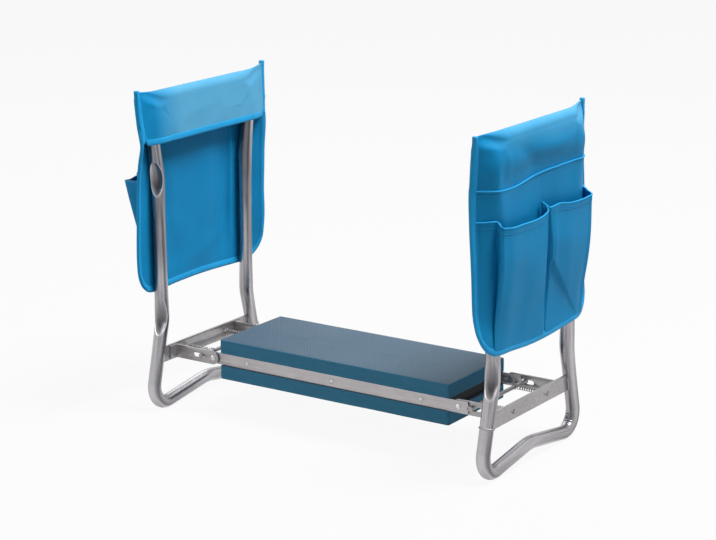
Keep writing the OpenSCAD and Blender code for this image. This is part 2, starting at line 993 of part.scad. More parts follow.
upper_pad();
lower_pad();
platform_board();
front_rail();
rear_rail();
front_rail_screws();
rear_rail_screws();
left_pivot_rivets();
right_pivot_rivets();
left_pivot_washers();
right_pivot_washers();
left_frame_tube();
left_crossbar();
left_front_arm();
left_rear_arm();
left_arm_rivets();
left_weld_beads();
left_lock_rod();
left_front_spring();
left_rear_spring();
left_pouch_cover();
left_flat_pocket();
left_gusset_pockets();
left_pouch_binding();
right_frame_tube();
right_crossbar();
right_front_arm();
right_rear_arm();
right_arm_rivets();
right_weld_beads();
right_lock_rod();
right_front_spring();
right_rear_spring();
right_pouch_cover();
right_flat_pocket();
right_gusset_pockets();
right_pouch_binding();
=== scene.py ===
"""Looks of a folding garden kneeler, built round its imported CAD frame.

Everything is in metres, in the frame of the CAD model: +X runs from the left end frame to the
right one, +Y from the front rail to the rear rail, +Z up, with the origin on the floor. A
surface is a function of two parameters, worked out on a whole grid of points at once.
"""
import json
import math

import bmesh
import bpy
import numpy as np
from mathutils import Matrix, Vector

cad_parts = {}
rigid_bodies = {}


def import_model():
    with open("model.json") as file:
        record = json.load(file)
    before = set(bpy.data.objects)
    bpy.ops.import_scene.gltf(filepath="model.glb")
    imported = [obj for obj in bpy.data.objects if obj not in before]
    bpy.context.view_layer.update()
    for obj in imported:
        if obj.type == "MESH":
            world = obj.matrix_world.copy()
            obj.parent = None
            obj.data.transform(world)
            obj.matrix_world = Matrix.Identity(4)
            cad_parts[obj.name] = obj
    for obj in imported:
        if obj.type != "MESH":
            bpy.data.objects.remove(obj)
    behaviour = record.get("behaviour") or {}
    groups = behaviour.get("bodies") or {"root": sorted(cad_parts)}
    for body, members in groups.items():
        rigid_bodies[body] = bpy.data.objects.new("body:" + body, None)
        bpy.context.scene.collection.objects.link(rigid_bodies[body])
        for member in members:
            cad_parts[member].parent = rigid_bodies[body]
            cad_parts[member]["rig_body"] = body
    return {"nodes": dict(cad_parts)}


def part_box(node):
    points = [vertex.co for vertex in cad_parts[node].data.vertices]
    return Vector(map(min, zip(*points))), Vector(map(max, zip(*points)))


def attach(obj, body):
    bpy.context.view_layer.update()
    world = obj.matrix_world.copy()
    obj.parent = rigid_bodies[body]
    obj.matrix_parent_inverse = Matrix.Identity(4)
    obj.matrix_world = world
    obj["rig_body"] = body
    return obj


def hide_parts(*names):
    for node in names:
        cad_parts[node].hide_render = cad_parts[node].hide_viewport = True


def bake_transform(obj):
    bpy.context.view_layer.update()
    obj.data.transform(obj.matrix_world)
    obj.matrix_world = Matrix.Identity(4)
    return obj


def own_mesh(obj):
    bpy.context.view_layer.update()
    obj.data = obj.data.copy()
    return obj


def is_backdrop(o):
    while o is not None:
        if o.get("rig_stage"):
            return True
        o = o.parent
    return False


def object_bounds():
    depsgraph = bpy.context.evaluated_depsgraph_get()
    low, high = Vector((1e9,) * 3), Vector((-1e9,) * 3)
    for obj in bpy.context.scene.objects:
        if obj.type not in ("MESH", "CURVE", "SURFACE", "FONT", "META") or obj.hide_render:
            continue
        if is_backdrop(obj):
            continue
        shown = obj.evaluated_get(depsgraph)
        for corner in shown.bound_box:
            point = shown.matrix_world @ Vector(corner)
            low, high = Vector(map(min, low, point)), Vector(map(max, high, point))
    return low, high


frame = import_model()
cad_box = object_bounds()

MM = 0.001
ALONG_X = np.array([1.0, 0.0, 0.0])
NODES = frame["nodes"]
END = {-1: "left", 1: "right"}

# Places read from the frame
BAR_LOW, BAR_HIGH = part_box("right_crossbar")
FRAME_X = (BAR_LOW.x + BAR_HIGH.x) / 2
PIVOT_Z = (BAR_LOW.z + BAR_HIGH.z) / 2
BAR_T = BAR_HIGH.x - BAR_LOW.x
BAR_H = BAR_HIGH.z - BAR_LOW.z
TUBE_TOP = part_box("right_frame_tube")[1].z
COVER_LOW, COVER_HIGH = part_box("right_pouch_cover")
POUCH_Y = COVER_HIGH.y
PANEL_Z = COVER_LOW.z

# Bent tube of an end frame: corners of its centre line, radii of its bends, height of its weld,
# lips round its hollows and wrinkles in its foot bends
TUBE_R = 10 * MM
LEG_LEAN = math.radians(13.2)
BAR_RISE = math.radians(8.4)
FOOT_Y, WAIST_Z = 136 * MM, 137 * MM
SHOULDER = (107 * MM, 356 * MM)
TOP_Y, TOP_Z = 124 * MM, TUBE_TOP - TUBE_R
CROWN_R, FOOT_R, LEG_R, TOP_R = 90 * MM, 28 * MM, 80 * MM, 36 * MM
JOINT_Z = 78 * MM
LIP, LIP_W = 0.5 * MM, 0.8 * MM
WRINKLE, WRINKLE_PITCH = 0.9 * MM, 6.5 * MM

# Cloth of the pouches
COVER_TOP = COVER_HIGH.z - 5.9 * MM
BAR_HALF = 104 * MM
CLOTH_T = 0.8 * MM
LAYER = 1.0 * MM
SLEEVE, LEG_GAP = 11.3 * MM, 1.3 * MM
# Reach along the hood cloth of its painted highlight, a paler colour that stands in for light on the hood
# band and flap
PAINTED_HIGHLIGHT_REACH = 125 * MM
PANEL_R = 42 * MM
FLAP_Z = 410 * MM
FLAP_CUT = (12 * MM, 30 * MM)
FLAP_LEAN = 4.8 * MM
BULGE_Z, BULGE_REACH = 446 * MM, 22 * MM
TAPE_W, FLAP_TAPE_W, TAPE_T = 11 * MM, 9 * MM, 1.2 * MM
HEM_W, HEM_ROW, GUSSET_H = 11 * MM, 9.2 * MM, 185 * MM

# Steps that give a surface's slopes: a length, and a share of the gusset's height
STEP, STEP_T = 0.5 * MM, 0.004


# Numbers and curves


def ease(t):
    """Rises from 0 to 1 as t does, level at both ends: t * t * (3 - 2 t)."""
    t = np.clip(t, 0, 1)
    return t * t * (3 - 2 * t)


def unit(v):
    """Vectors of length one along the last axis."""
    return v / np.maximum(np.linalg.norm(v, axis=-1, keepdims=True), 1e-12)


def through(knots, t):
    """Smooth curve through knots (t, value, ...): on each span a cubic whose slope at a knot is
    the slope of the chord between the knots beside it."""
    knots = np.asarray(knots, float)
    x, y = knots[:, 0], knots[:, 1:]
    slope = np.gradient(y, x, axis=0)
    t = np.clip(np.asarray(t, float), x[0], x[-1])
    i = np.clip(np.searchsorted(x, t, side="right") - 1, 0, len(x) - 2)
    h = (x[i + 1] - x[i])[..., None]
    u = ((t - x[i])[..., None]) / h
    a, b = y[i], y[i + 1]
    bend = (2 * a - 2 * b + h * slope[i] + h * slope[i + 1]) * u**3
    bend = bend + (3 * b - 3 * a - 2 * h * slope[i] - h * slope[i + 1]) * u**2
    return bend + h * slope[i] * u + a


def smaller(a, b, soft):
    """The smaller of a and b, rounded where they are within soft of each other."""
    share = np.clip(0.5 + 0.5 * (b - a) / soft, 0, 1)
    return b + (a - b) * share - soft * share * (1 - share)


def lengths(points):
    """Distance along a line of points, from its first one."""
    steps = np.linalg.norm(np.diff(points, axis=0), axis=-1)
    return np.concatenate([[0], np.cumsum(steps)])


def round_turns(n):
    """n angles at equal steps round a circle."""
    return 2 * math.pi * np.arange(n) / n


def heading(path, loop=False):
    """Direction of a path at each of its points."""
    if loop:
        return unit(np.roll(path, -1, 0) - np.roll(path, 1, 0))
    return unit(np.gradient(path, axis=0))


def evenly(points, n):
    """The same line with n points at equal distances along it."""
    s = lengths(points)
    at = np.linspace(0, s[-1], n)
    return np.stack([np.interp(at, s, points[:, k]) for k in range(points.shape[1])], -1)


def waves(a, b, seed, size, height):
    """Soft unevenness: the sum of six sine waves in random directions, about size long."""
    rng = np.random.default_rng(seed)
    total = np.zeros(np.broadcast(a, b).shape)
    for turn, phase, stretch in rng.uniform(0, 1, (6, 3)):
        way = 2 * math.pi * turn
        k = 2 * math.pi / (size * (0.7 + 0.8 * stretch))
        total = total + np.sin(k * (a * math.cos(way) + b * math.sin(way)) + 2 * math.pi * phase)
    return total * height / 3


# Meshes


def added(name, data):
    """Object of a mesh, lamp or camera, in the scene."""
    obj = bpy.data.objects.new(name, data)
    bpy.context.scene.collection.objects.link(obj)
    return obj


def smooth(mesh):
    """Smooth shading for all faces of a mesh."""
    mesh.polygons.foreach_set("use_smooth", np.ones(len(mesh.polygons), bool))


def grid_object(name, points, uv=None, around=False, closed=False, loop=False):
    """Object from a grid of points: quads between neighbours. around joins the last column to
    the first, loop the last row to the first, and closed shuts the first and the last row with
    a fan to their middle."""
    rows, cols = points.shape[:2]
    index = np.arange(rows * cols).reshape(rows, cols)
    right = np.roll(index, -1, axis=1) if around else index[:, 1:]
    left = index if around else index[:, :-1]
    if loop:
        left, right = np.concatenate([left, left[:1]]), np.concatenate([right, right[:1]])
    quads = np.stack([left[:-1], right[:-1], right[1:], left[1:]], -1).reshape(-1, 4)
    verts = points.reshape(-1, 3)
    faces = quads.tolist()
    if closed:
        verts = np.concatenate([verts, points[:1].mean(1), points[-1:].mean(1)])
        ends = ((right[0], left[0], rows * cols), (left[-1], right[-1], rows * cols + 1))
        for a, b, middle in ends:
            fan = np.stack([a, b, np.full_like(a, middle)], -1)
            faces += fan.tolist()
    mesh = bpy.data.meshes.new(name)
    mesh.from_pydata(verts.tolist(), [], faces)
    if uv is not None:
        layer = mesh.uv_layers.new(name="cloth")
        corner = np.zeros(len(mesh.loops), np.int32)
        mesh.loops.foreach_get("vertex_index", corner)
        flat = uv.reshape(-1, 2)
        if closed:
            flat = np.concatenate([flat, uv[0, :1], uv[-1, :1]])
        layer.data.foreach_set("uv", flat[corner].astype(np.float32).ravel())
    smooth(mesh)
    return added(name, mesh)


def swept(path, side, radius, sides, loop=False):
    """Grid of rings round a path: path + radius * (cos a * u + sin a * v), with u square to the
    path near the side vector. radius is one value, or one for each point or ring corner."""
    way = heading(path, loop)
    u = unit(side - (way @ side)[:, None] * way)
    v = np.cross(way, u)
    a = round_turns(sides)
    r = np.broadcast_to(radius, (len(path), sides))[..., None]
    ring = np.cos(a)[None, :, None] * u[:, None] + np.sin(a)[None, :, None] * v[:, None]
    return path[:, None] + r * ring


def dress(obj, body, material, replaces=()):
    """Gives a piece its material and its body, and hides the nodes it stands for."""
    obj.data.materials.clear()
    obj.data.materials.append(material)
    if body:
        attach(obj, body)
    if replaces:
        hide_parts(*replaces)
    return obj


# Materials


def new_node(tree, kind, values, **settings):
    """Shader node with its settings. Each input named or numbered in values is linked where the
    value is a socket, and holds the value otherwise. Returns the node's outputs."""
    node = tree.nodes.new("ShaderNode" + kind)
    for label, setting in settings.items():
        setattr(node, label, setting)
    for label, value in values.items():
        if isinstance(value, bpy.types.NodeSocket):
            tree.links.new(value, node.inputs[label])
        else:
            node.inputs[label].default_value = value
    return node.outputs


def maths(tree, operation, *values, clamp=False):
    """Output of a Math node on sockets or numbers."""
    return new_node(tree, "Math", dict(enumerate(values)), operation=operation, use_clamp=clamp)[0]


def split(tree, vector):
    """The parts X, Y and Z of a vector."""
    return new_node(tree, "SeparateXYZ", {0: vector})


def noise(tree, coords, scale, detail, rough, squeeze=None):
    """Noise between 0 and 1 on the coordinates, which squeeze stretches along its axes."""
    if squeeze:
        coords = new_node(tree, "Mapping", {"Vector": coords, "Scale": squeeze})["Vector"]
    values = {"Vector": coords, "Scale": scale, "Detail": detail, "Roughness": rough}
    return new_node(tree, "TexNoise", values)["Fac"]


def mixed(tree, factor, a, b):
    """Colour mixed from a to b by a factor; a and b are colours or sockets. Inputs 6 and 7 and
    output 2 of the node are its colour ones."""
    a, b = ((*colour, 1) if isinstance(colour, tuple) else colour for colour in (a, b))
    return new_node(tree, "Mix", {0: factor, 6: a, 7: b}, data_type="RGBA")[2]


def node_group(name, numbers, outputs, make):
    """Shader node group on coordinates. numbers are its other inputs (label, kind, value), and
    make gets the group and all inputs and gives a value for each of the outputs."""
    group = bpy.data.node_groups.new(name, "ShaderNodeTree")
    group.interface.new_socket(name="Coordinates", in_out="INPUT", socket_type="NodeSocketVector")
    for label, kind, value in numbers:
        socket = group.interface.new_socket(name=label, in_out="INPUT", socket_type="NodeSocket" + kind)
        socket.default_value = value
    for label in outputs:
        group.interface.new_socket(name=label, in_out="OUTPUT", socket_type="NodeSocketFloat")
    given = group.nodes.new("NodeGroupInput").outputs
    put = group.nodes.new("NodeGroupOutput").inputs
    inputs = [given[label] for label in ["Coordinates"] + [label for label, kind, value in numbers]]
    for label, value in zip(outputs, make(group, *inputs)):
        group.links.new(value, put[label])
    return group


def make_weave(tree, coords, spacing):
    """Plain weave on metre coordinates: threads that go over and under each other in turn.
    Height is sin(u) * sin(v) at the thread spacing, and Slub varies slowly along the threads."""
    turns = maths(tree, "DIVIDE", math.pi, spacing)
    threads = [maths(tree, "SINE", maths(tree, "MULTIPLY", part, turns)) for part in split(tree, coords)[:2]]
    over = maths(tree, "MULTIPLY", *threads)
    along, across = (noise(tree, coords, 60.0, 4.0, 0.6, squeeze) for squeeze in ((1, 14, 1), (14, 1, 1)))
    return maths(tree, "MULTIPLY_ADD", over, 0.5, 0.5), maths(tree, "MULTIPLY", along, across)


def make_mottle(tree, coords, clouds, specks):
    """Uneven tone of a used surface: slow clouds and fine specks, each between 0 and 1."""
    return noise(tree, coords, clouds, 3.0, 0.5), noise(tree, coords, specks, 2.0, 0.6)


def make_brushed(tree, coords, stretch):
    """Fine lines drawn along one axis of a metal: noise stretched by the Stretch vector."""
    scaled = new_node(tree, "VectorMath", {0: coords, 1: stretch}, operation="MULTIPLY")[0]
    return [noise(tree, scaled, 40.0, 3.0, 0.5)]


def make_diamonds(tree, coords, pitch, angle):
    """Embossed diamonds: two sets of slanted grooves, Angle either side of Y, Pitch apart."""
    turns = maths(tree, "DIVIDE", math.pi, pitch)
    parts = split(tree, coords)
    across = maths(tree, "MULTIPLY", parts["X"], maths(tree, "COSINE", angle))
    along = maths(tree, "MULTIPLY", parts["Y"], maths(tree, "SINE", angle))
    ridges = []
    for way in ("ADD", "SUBTRACT"):
        wave = maths(tree, "SINE", maths(tree, "MULTIPLY", maths(tree, way, across, along), turns))
        ridges.append(maths(tree, "POWER", maths(tree, "ABSOLUTE", wave), 0.5))
    height = maths(tree, "MULTIPLY", *ridges)
    return height, maths(tree, "SUBTRACT", 1.0, height)


WEAVE = node_group("weave", [("Spacing", "Float", 0.0007)], ["Height", "Slub"], make_weave)
MOTTLE = node_group("mottle", [("Clouds", "Float", 12.0), ("Specks", "Float", 900.0)],
                    ["Cloud", "Speck"], make_mottle)
BRUSHED = node_group("brushed", [("Stretch", "Vector", (1, 40, 40))], ["Lines"], make_brushed)
DIAMONDS = node_group("diamonds", [("Pitch", "Float", 0.0043), ("Angle", "Float", math.radians(36))],
                      ["Height", "Groove"], make_diamonds)


class Finish:
    """A material with one Principled shader, and short ways to make its nodes."""

    def __init__(self, name, **constants):
        self.material = bpy.data.materials.new(name)
        self.material.use_nodes = True
        self.tree = self.material.node_tree
        self.shader = self.tree.nodes["Principled BSDF"]
        for label, value in constants.items():
            self.shader.inputs[label.replace("_", " ")].default_value = value
        self.coords = new_node(self.tree, "TexCoord", {})

    def maths(self, operation, *values, clamp=False):
        """Output of a Math node of this material."""
        return maths(self.tree, operation, *values, clamp=clamp)

    def note(self, name, output):
        """Output of the piece's own attribute."""
        return new_node(self.tree, "Attribute", {}, attribute_name=name)[output]

    def place(self, group, coords="Object", **values):
        """Outputs of a group on the named coordinates or a socket's, with its inputs set."""
        given = self.coords[coords] if isinstance(coords, str) else coords
        return new_node(self.tree, "Group", {"Coordinates": given, **values}, node_tree=group)

    def link(self, value, label):
        """Feeds a socket of the shader."""
        self.tree.links.new(value, self.shader.inputs[label])

    def colour(self, factor, a, b):
        """Base colour that goes from a to b with the factor; returns it."""
        made = mixed(self.tree, factor, a, b)
        self.link(made, "Base Color")
        return made

    def spread(self, value, low, high, start=0.0, stop=1.0):
        """Linear map of start to stop on low to high."""
        values = {"Value": value, "From Min": start, "From Max": stop, "To Min": low, "To Max": high}
        return new_node(self.tree, "MapRange", values)["Result"]

    def bump(self, height, distance, strength=1.0, below=None):
        """Bump of a height in metres; returns the normal, for a second bump over it."""
        values = {"Height": height, "Distance": distance, "Strength": strength}
        if below:
            values["Normal"] = below
        normal = new_node(self.tree, "Bump", values)["Normal"]
        self.link(normal, "Normal")
        return normal

    def mottled(self, clouds, specks, depth, rough=None, coords="Object"):
        """Mottle: its clouds, which vary the roughness where a range is given, and the normal of
        its specks."""
        mottle = self.place(MOTTLE, coords, Clouds=clouds, Specks=specks)
        if rough:
            self.link(self.spread(mottle["Cloud"], *rough), "Roughness")
        return mottle["Cloud"], self.bump(mottle["Speck"], depth)


def cloth_finish(name, light, dark, spacing, rough, painted_highlight=None):
    """Coated woven cloth: the weave in the bump, slow clouds and slubs in its colour. A paler colour,
    a painted highlight for the light on the hood, shows from the cloth's first edge to the highlight's reach
    along it, less at its front end."""
    made = Finish(name, Specular_IOR_Level=0.10)
    weave = made.place(WEAVE, "UV", Spacing=spacing)
    cloud, specks = made.mottled(16.0, 700.0, 0.00005, (rough - 0.08, rough + 0.08))
    tone = made.maths("ADD", weave["Slub"], made.maths("MULTIPLY", cloud, 0.6))
    cloth_tone = made.colour(made.spread(tone, 0.0, 1.0), dark, light)
    # Painted highlight: a paler colour on the hood and flap where the lamp's light falls, fading out along
    # the cloth and towards its front end
    if painted_highlight:
        left = made.maths("SUBTRACT", PAINTED_HIGHLIGHT_REACH, split(made.tree, made.coords["UV"])["Y"])
        near = made.maths("DIVIDE", left, 0.4 * PAINTED_HIGHLIGHT_REACH, clamp=True)
        place = split(made.tree, made.coords["Object"])["Y"]
        behind = made.maths("MULTIPLY_ADD", place, 16.0, 2.0, clamp=True)
        share = made.maths("MULTIPLY", near, behind)
        made.colour(made.maths("MULTIPLY", share, made.spread(cloud, 0.7, 1.0)), cloth_tone, painted_highlight)
    made.bump(weave["Height"], 0.00012, 0.8, specks)
    return made.material


def foam_face_finish():
    """Closed-cell foam with an embossed face: greyer on the lands, and darker in the grooves as painted
    shade.
    """
    made = Finish("foam_face", Specular_IOR_Level=0.4, Sheen_Weight=0.2)
    diamond = made.place(DIAMONDS)
    # The emboss grooves get a darker colour: painted shade
    made.colour(diamond["Groove"], (0.050, 0.112, 0.168), (0.025, 0.067, 0.111))
    specks = made.mottled(9.0, 1400.0, 0.00008, (0.55, 0.75))[1]
    made.bump(diamond["Height"], 0.0004, 0.8, specks)
    return made.material


def foam_cut_finish():
    """Sliced side of the foam: fine pores, and faint lines drawn by the blade."""
    made = Finish("foam_cut", Specular_IOR_Level=0.35)
    lines = made.place(BRUSHED, Stretch=(1.5, 1.5, 22.0))["Lines"]
    cloud, specks = made.mottled(14.0, 1600.0, 0.00015, (0.65, 0.85))
    tone = made.maths("MULTIPLY", lines, made.maths("ADD", cloud, 0.5))
    made.colour(tone, (0.022, 0.148, 0.260), (0.045, 0.222, 0.355))
    made.bump(lines, 0.00012, 0.6, specks)
    return made.material


def steel_finish(name, light, dark, rough, stretch, metallic=0.9, clouds=18.0):
    """Bright steel: brushed lines and slow clouds in its tone and gloss."""
    made = Finish(name, Metallic=metallic, Specular_IOR_Level=0.5)
    lines = made.place(BRUSHED, Stretch=stretch)["Lines"]
    cloud, specks = made.mottled(clouds, 1100.0, 0.00002)
    tone = made.maths("MULTIPLY", lines, made.maths("ADD", cloud, 0.5))
    made.colour(tone, dark, light)
    made.link(made.spread(tone, rough + 0.08, rough - 0.06), "Roughness")
    made.bump(lines, 0.00003, 0.5, specks)
    return made.material


def tube_finish():
    """Plated tube: streaks along it, a painted reflection, and clouds, on its coordinates before bending;
    its hollows get painted shade inside and a painted highlight on their lips."""
    made = Finish("tube_steel", Metallic=0.9, Specular_IOR_Level=0.5)
    unbent = made.note("unbent", "Vector")
    lines = made.place(BRUSHED, unbent, Stretch=(2.4, 2.4, 0.12))["Lines"]
    cloud = made.mottled(22.0, 1100.0, 0.00002, coords=unbent)[0]
    # Dark and bright bands along the tube in its base colour: a painted reflection
    painted_reflection_streak = made.maths("MULTIPLY", made.spread(lines, 0.0, 1.0, 0.38, 0.62), 0.8)
    tone = made.maths("MULTIPLY_ADD", cloud, 0.3, painted_reflection_streak)
    plain = mixed(made.tree, tone, (0.115, 0.11, 0.12), (0.54, 0.52, 0.545))
    # Painted light in the hollows: the mask turns the colour near black inside each dish (painted shade) and
    # near white on its lip (painted highlight)
    pressed = made.note("pressed", "Fac")
    hollow, lip = (made.maths("MULTIPLY", pressed, share, clamp=True) for share in (1.1, -1.0))
    made.colour(lip, mixed(made.tree, hollow, plain, (0.045, 0.042, 0.046)), (0.95, 0.94, 0.96))
    made.link(made.spread(tone, 0.34, 0.20), "Roughness")
    return made.material


def board_finish():
    """Dark board between the pads: pressed fibres, dull."""
    made = Finish("board_dark", Specular_IOR_Level=0.3)
    mottle = made.place(MOTTLE, Clouds=60.0, Specks=1500.0)
    made.colour(mottle["Cloud"], (0.010, 0.012, 0.014), (0.032, 0.036, 0.040))
    made.link(made.spread(mottle["Speck"], 0.6, 0.8), "Roughness")
    made.bump(mottle["Speck"], 0.0002)
    return made.material


POUCH_BLUES = (0.010, 0.282, 0.575), (0.003, 0.208, 0.465)
POUCH_CLOTH = cloth_finish("pouch_cloth", *POUCH_BLUES, 0.0009, 0.50)
# The hood cloth carries a painted highlight: the paler blue last below stands in for light on the hood band
# and flap
HOOD_CLOTH = cloth_finish("hood_cloth", *POUCH_BLUES, 0.0009, 0.50, (0.120, 0.420, 0.650))
BINDING_TAPE = cloth_finish("binding_tape", (0.027, 0.400, 0.780), (0.011, 0.315, 0.665), 0.0006, 0.45)
THREAD = cloth_finish("thread", (0.060, 0.420, 0.760), (0.040, 0.330, 0.660), 0.0003, 0.45)
FOAM_FACE, FOAM_CUT = foam_face_finish(), foam_cut_finish()
TUBE_STEEL = tube_finish()
RAIL_STEEL = steel_finish("rail_steel", (0.56, 0.53, 0.545), (0.36, 0.34, 0.35), 0.36, (1.2, 20, 20), 0.8)
PLATE_STEEL = steel_finish("plate_steel", (0.46, 0.445, 0.45), (0.28, 0.27, 0.275), 0.34, (3, 3, 16), 0.85)
BRIGHT = steel_finish("bright_fasteners", (0.74, 0.73, 0.73), (0.46, 0.45, 0.45), 0.30, (6, 6, 6), 0.95)
WIRE = steel_finish("spring_wire", (0.36, 0.35, 0.36), (0.18, 0.17, 0.18), 0.28, (10, 10, 10), 0.95)
WELD = steel_finish("weld_metal", (0.46, 0.45, 0.47), (0.20, 0.19, 0.20), 0.40, (60, 60, 60), 0.85, 200.0)
BOARD = board_finish()


# Platform


def rounded_ring(half_x, half_y, r, n):
    """n points of a rectangle with corners of radius r, as a path at equal distances."""
    turns = np.linspace(0, math.pi / 2, 9)
    corners = [(half_x - r, half_y - r, 0), (r - half_x, half_y - r, 1),
               (r - half_x, r - half_y, 2), (half_x - r, r - half_y, 3)]
    arcs = [np.stack([x + r * np.cos(turns + q * math.pi / 2), y + r * np.sin(turns + q * math.pi / 2)], -1)
            for x, y, q in corners]
    line = np.concatenate(arcs + [arcs[0][:1]])
    return evenly(line, n + 1)[:n]


def foam_pad(name, node, seed):
    """Foam block: rings of a rounded rectangle carried up a profile of (inset, height), with
    small rounded edges, a side that bellies out a little and faces that fall off at the rim."""
    low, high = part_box(node)
    half_x, half_y, thick = high.x, high.y, high.z - low.z
    edge, belly, fall = 1.1 * MM, 0.25 * MM, 0.5 * MM
    corner, least = 2 * MM, 0.3 * MM
    a = np.linspace(0, math.pi / 2, 6)
    bottom = np.stack([edge - edge * np.sin(a), edge - edge * np.cos(a)], -1)
    side = np.linspace(edge, thick - edge, 14)[1:-1]
    side = np.stack([-belly * np.sin(math.pi * side / thick), side], -1)
    top = np.stack([edge - edge * np.cos(a), thick - edge + edge * np.sin(a)], -1)
    inner = np.array([2.5, 5, 9, 15, 25, 40, 58, 74]) * MM
    face = fall * ease(inner / (12 * MM))
    faces = np.stack([inner, thick + face - fall], -1)
    under = np.stack([inner[::-1], fall - face[::-1]], -1)
    top[:, 1] -= fall
    bottom[:, 1] += fall
    profile = np.concatenate([under, bottom, side, top, faces])
    profile[:, 0] += belly
    rings, around = [], 360
    for inset, height in profile:
        ring = rounded_ring(half_x - inset, half_y - inset, max(corner - inset, least), around)
        rings.append(np.column_stack([ring, np.full(around, low.z + height)]))
    points = np.stack(rings)
    points[..., 2] += waves(points[..., 0], points[..., 1], seed, 0.11, 0.12 * MM) - 0.1 * MM
    pad = grid_object(name, points, around=True, closed=True)
    dress(pad, "platform", FOAM_CUT, [node])
    pad.data.materials.append(FOAM_FACE)
    flat = np.zeros(len(pad.data.polygons) * 3, np.float32)
    pad.data.polygons.foreach_get("normal", flat)
    on_face = np.abs(flat.reshape(-1, 3)[:, 2]) > 0.8
    pad.data.polygons.foreach_set("material_index", on_face.astype(np.int32))


def eased(node, width, material):
    """A copy of a CAD piece with its doubles merged, its flat faces made whole and its sharp
    edges rounded by width, which stands for that piece."""
    mesh = bmesh.new()
    mesh.from_mesh(NODES[node].data)
    bmesh.ops.remove_doubles(mesh, verts=mesh.verts, dist=2e-6)
    bmesh.ops.dissolve_limit(mesh, angle_limit=math.radians(1), verts=mesh.verts, edges=mesh.edges)
    inner = [edge for edge in mesh.edges if len(edge.link_faces) == 2]
    sharp = [edge for edge in inner if edge.calc_face_angle() > math.radians(40)]
    bmesh.ops.bevel(mesh, geom=sharp, offset=width, segments=2, profile=0.5, affect="EDGES",
                    clamp_overlap=True)
    made = bpy.data.meshes.new(node + "_eased")
    mesh.to_mesh(made)
    mesh.free()
    smooth(made)
    made.set_sharp_from_angle(angle=math.radians(35))
    return dress(added(node + "_eased", made), NODES[node]["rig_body"], material, [node])


def make_platform():
    """Foam pads, and rails with rounded edges."""
    foam_pad("upper_foam", "upper_pad", 5)
    foam_pad("lower_foam", "lower_pad", 9)
    for place in ("front", "rear"):
        eased(place + "_rail", 0.25 * MM, RAIL_STEEL)


# End frames


def rounded_loop(corners, radii, step):
    """Closed line through corners (y, z), with an arc of each radius, at equal distances."""
    corners, pieces = np.asarray(corners, float), []
    for before, corner, after, r in zip(np.roll(corners, 1, 0), corners, np.roll(corners, -1, 0), radii):
        a, b = unit(corner - before), unit(after - corner)
        turn = math.atan2(a[0] * b[1] - a[1] * b[0], a @ b)
        reach = r * math.tan(abs(turn) / 2)
        start = corner - a * reach
        t = np.linspace(0, abs(turn), 40)[:, None]
        left = math.copysign(1, turn) * np.array([-a[1], a[0]])
        pieces.append(start + r * (np.sin(t) * a + (1 - np.cos(t)) * left))
    line = np.concatenate(pieces + [pieces[0][:1]])
    return evenly(line, int(lengths(line)[-1] / step) + 1)[:-1]


def frame_corners():
    """Corners (y, z) and bend radii of the loop. The foot is set so that the tube of each lower
    corner touches the floor."""
    to_crown = np.array([-math.cos(BAR_RISE), math.sin(BAR_RISE)])
    to_waist = np.array([-math.sin(LEG_LEAN), math.cos(LEG_LEAN)])
    half = math.acos(to_crown @ to_waist) / 2
    foot_z = TUBE_R + FOOT_R - FOOT_R * unit(to_crown + to_waist)[1] / math.sin(half)
    waist_y = FOOT_Y - (WAIST_Z - foot_z) * math.tan(LEG_LEAN)
    right = [(FOOT_Y, foot_z), (waist_y, WAIST_Z), SHOULDER, (TOP_Y, TOP_Z)]
    crown = (0, foot_z + FOOT_Y * math.tan(BAR_RISE))
    corners = [crown] + right + [(-y, z) for y, z in right[::-1]]
    side = [FOOT_R, LEG_R, LEG_R, TOP_R]
    return corners, [CROWN_R] + side + side[::-1]


CORNERS, RADII = frame_corners()
WAIST_Y = CORNERS[2][0]


def leg_way(s):
    """Direction up a leg between foot and waist: the front one for s = -1, the rear one for 1."""
    return np.array([0, -s * math.sin(LEG_LEAN), math.cos(LEG_LEAN)])


def leg_point(side, s, z):
    """Point of that leg's centre line at height z."""
    return np.array([side * FRAME_X, s * (WAIST_Y + (WAIST_Z - z) * math.tan(LEG_LEAN)), z])


def beside(line, y, z):
    """Signed distance of each point along a closed line from its point nearest to (y, z)."""
    s = lengths(np.concatenate([line, line[:1]]))
    away = s[:-1] - s[np.argmin(np.hypot(line[:, 0] - y, line[:, 1] - z))]
    return away - s[-1] * np.round(away / s[-1])


# Hollows that the bending has pressed into the tube's outer side: corner (y, z), depth, half
# length along the tube, radius across, and turn round the tube
DISHES = (((WAIST_Y, WAIST_Z + 9 * MM), 7.0 * MM, 31 * MM, 22 * MM, math.radians(20)),
          (SHOULDER, 7.0 * MM, 27 * MM, 22 * MM, math.radians(24)),
          (CORNERS[1], 3.2 * MM, 15 * MM, 24 * MM, math.radians(18)))


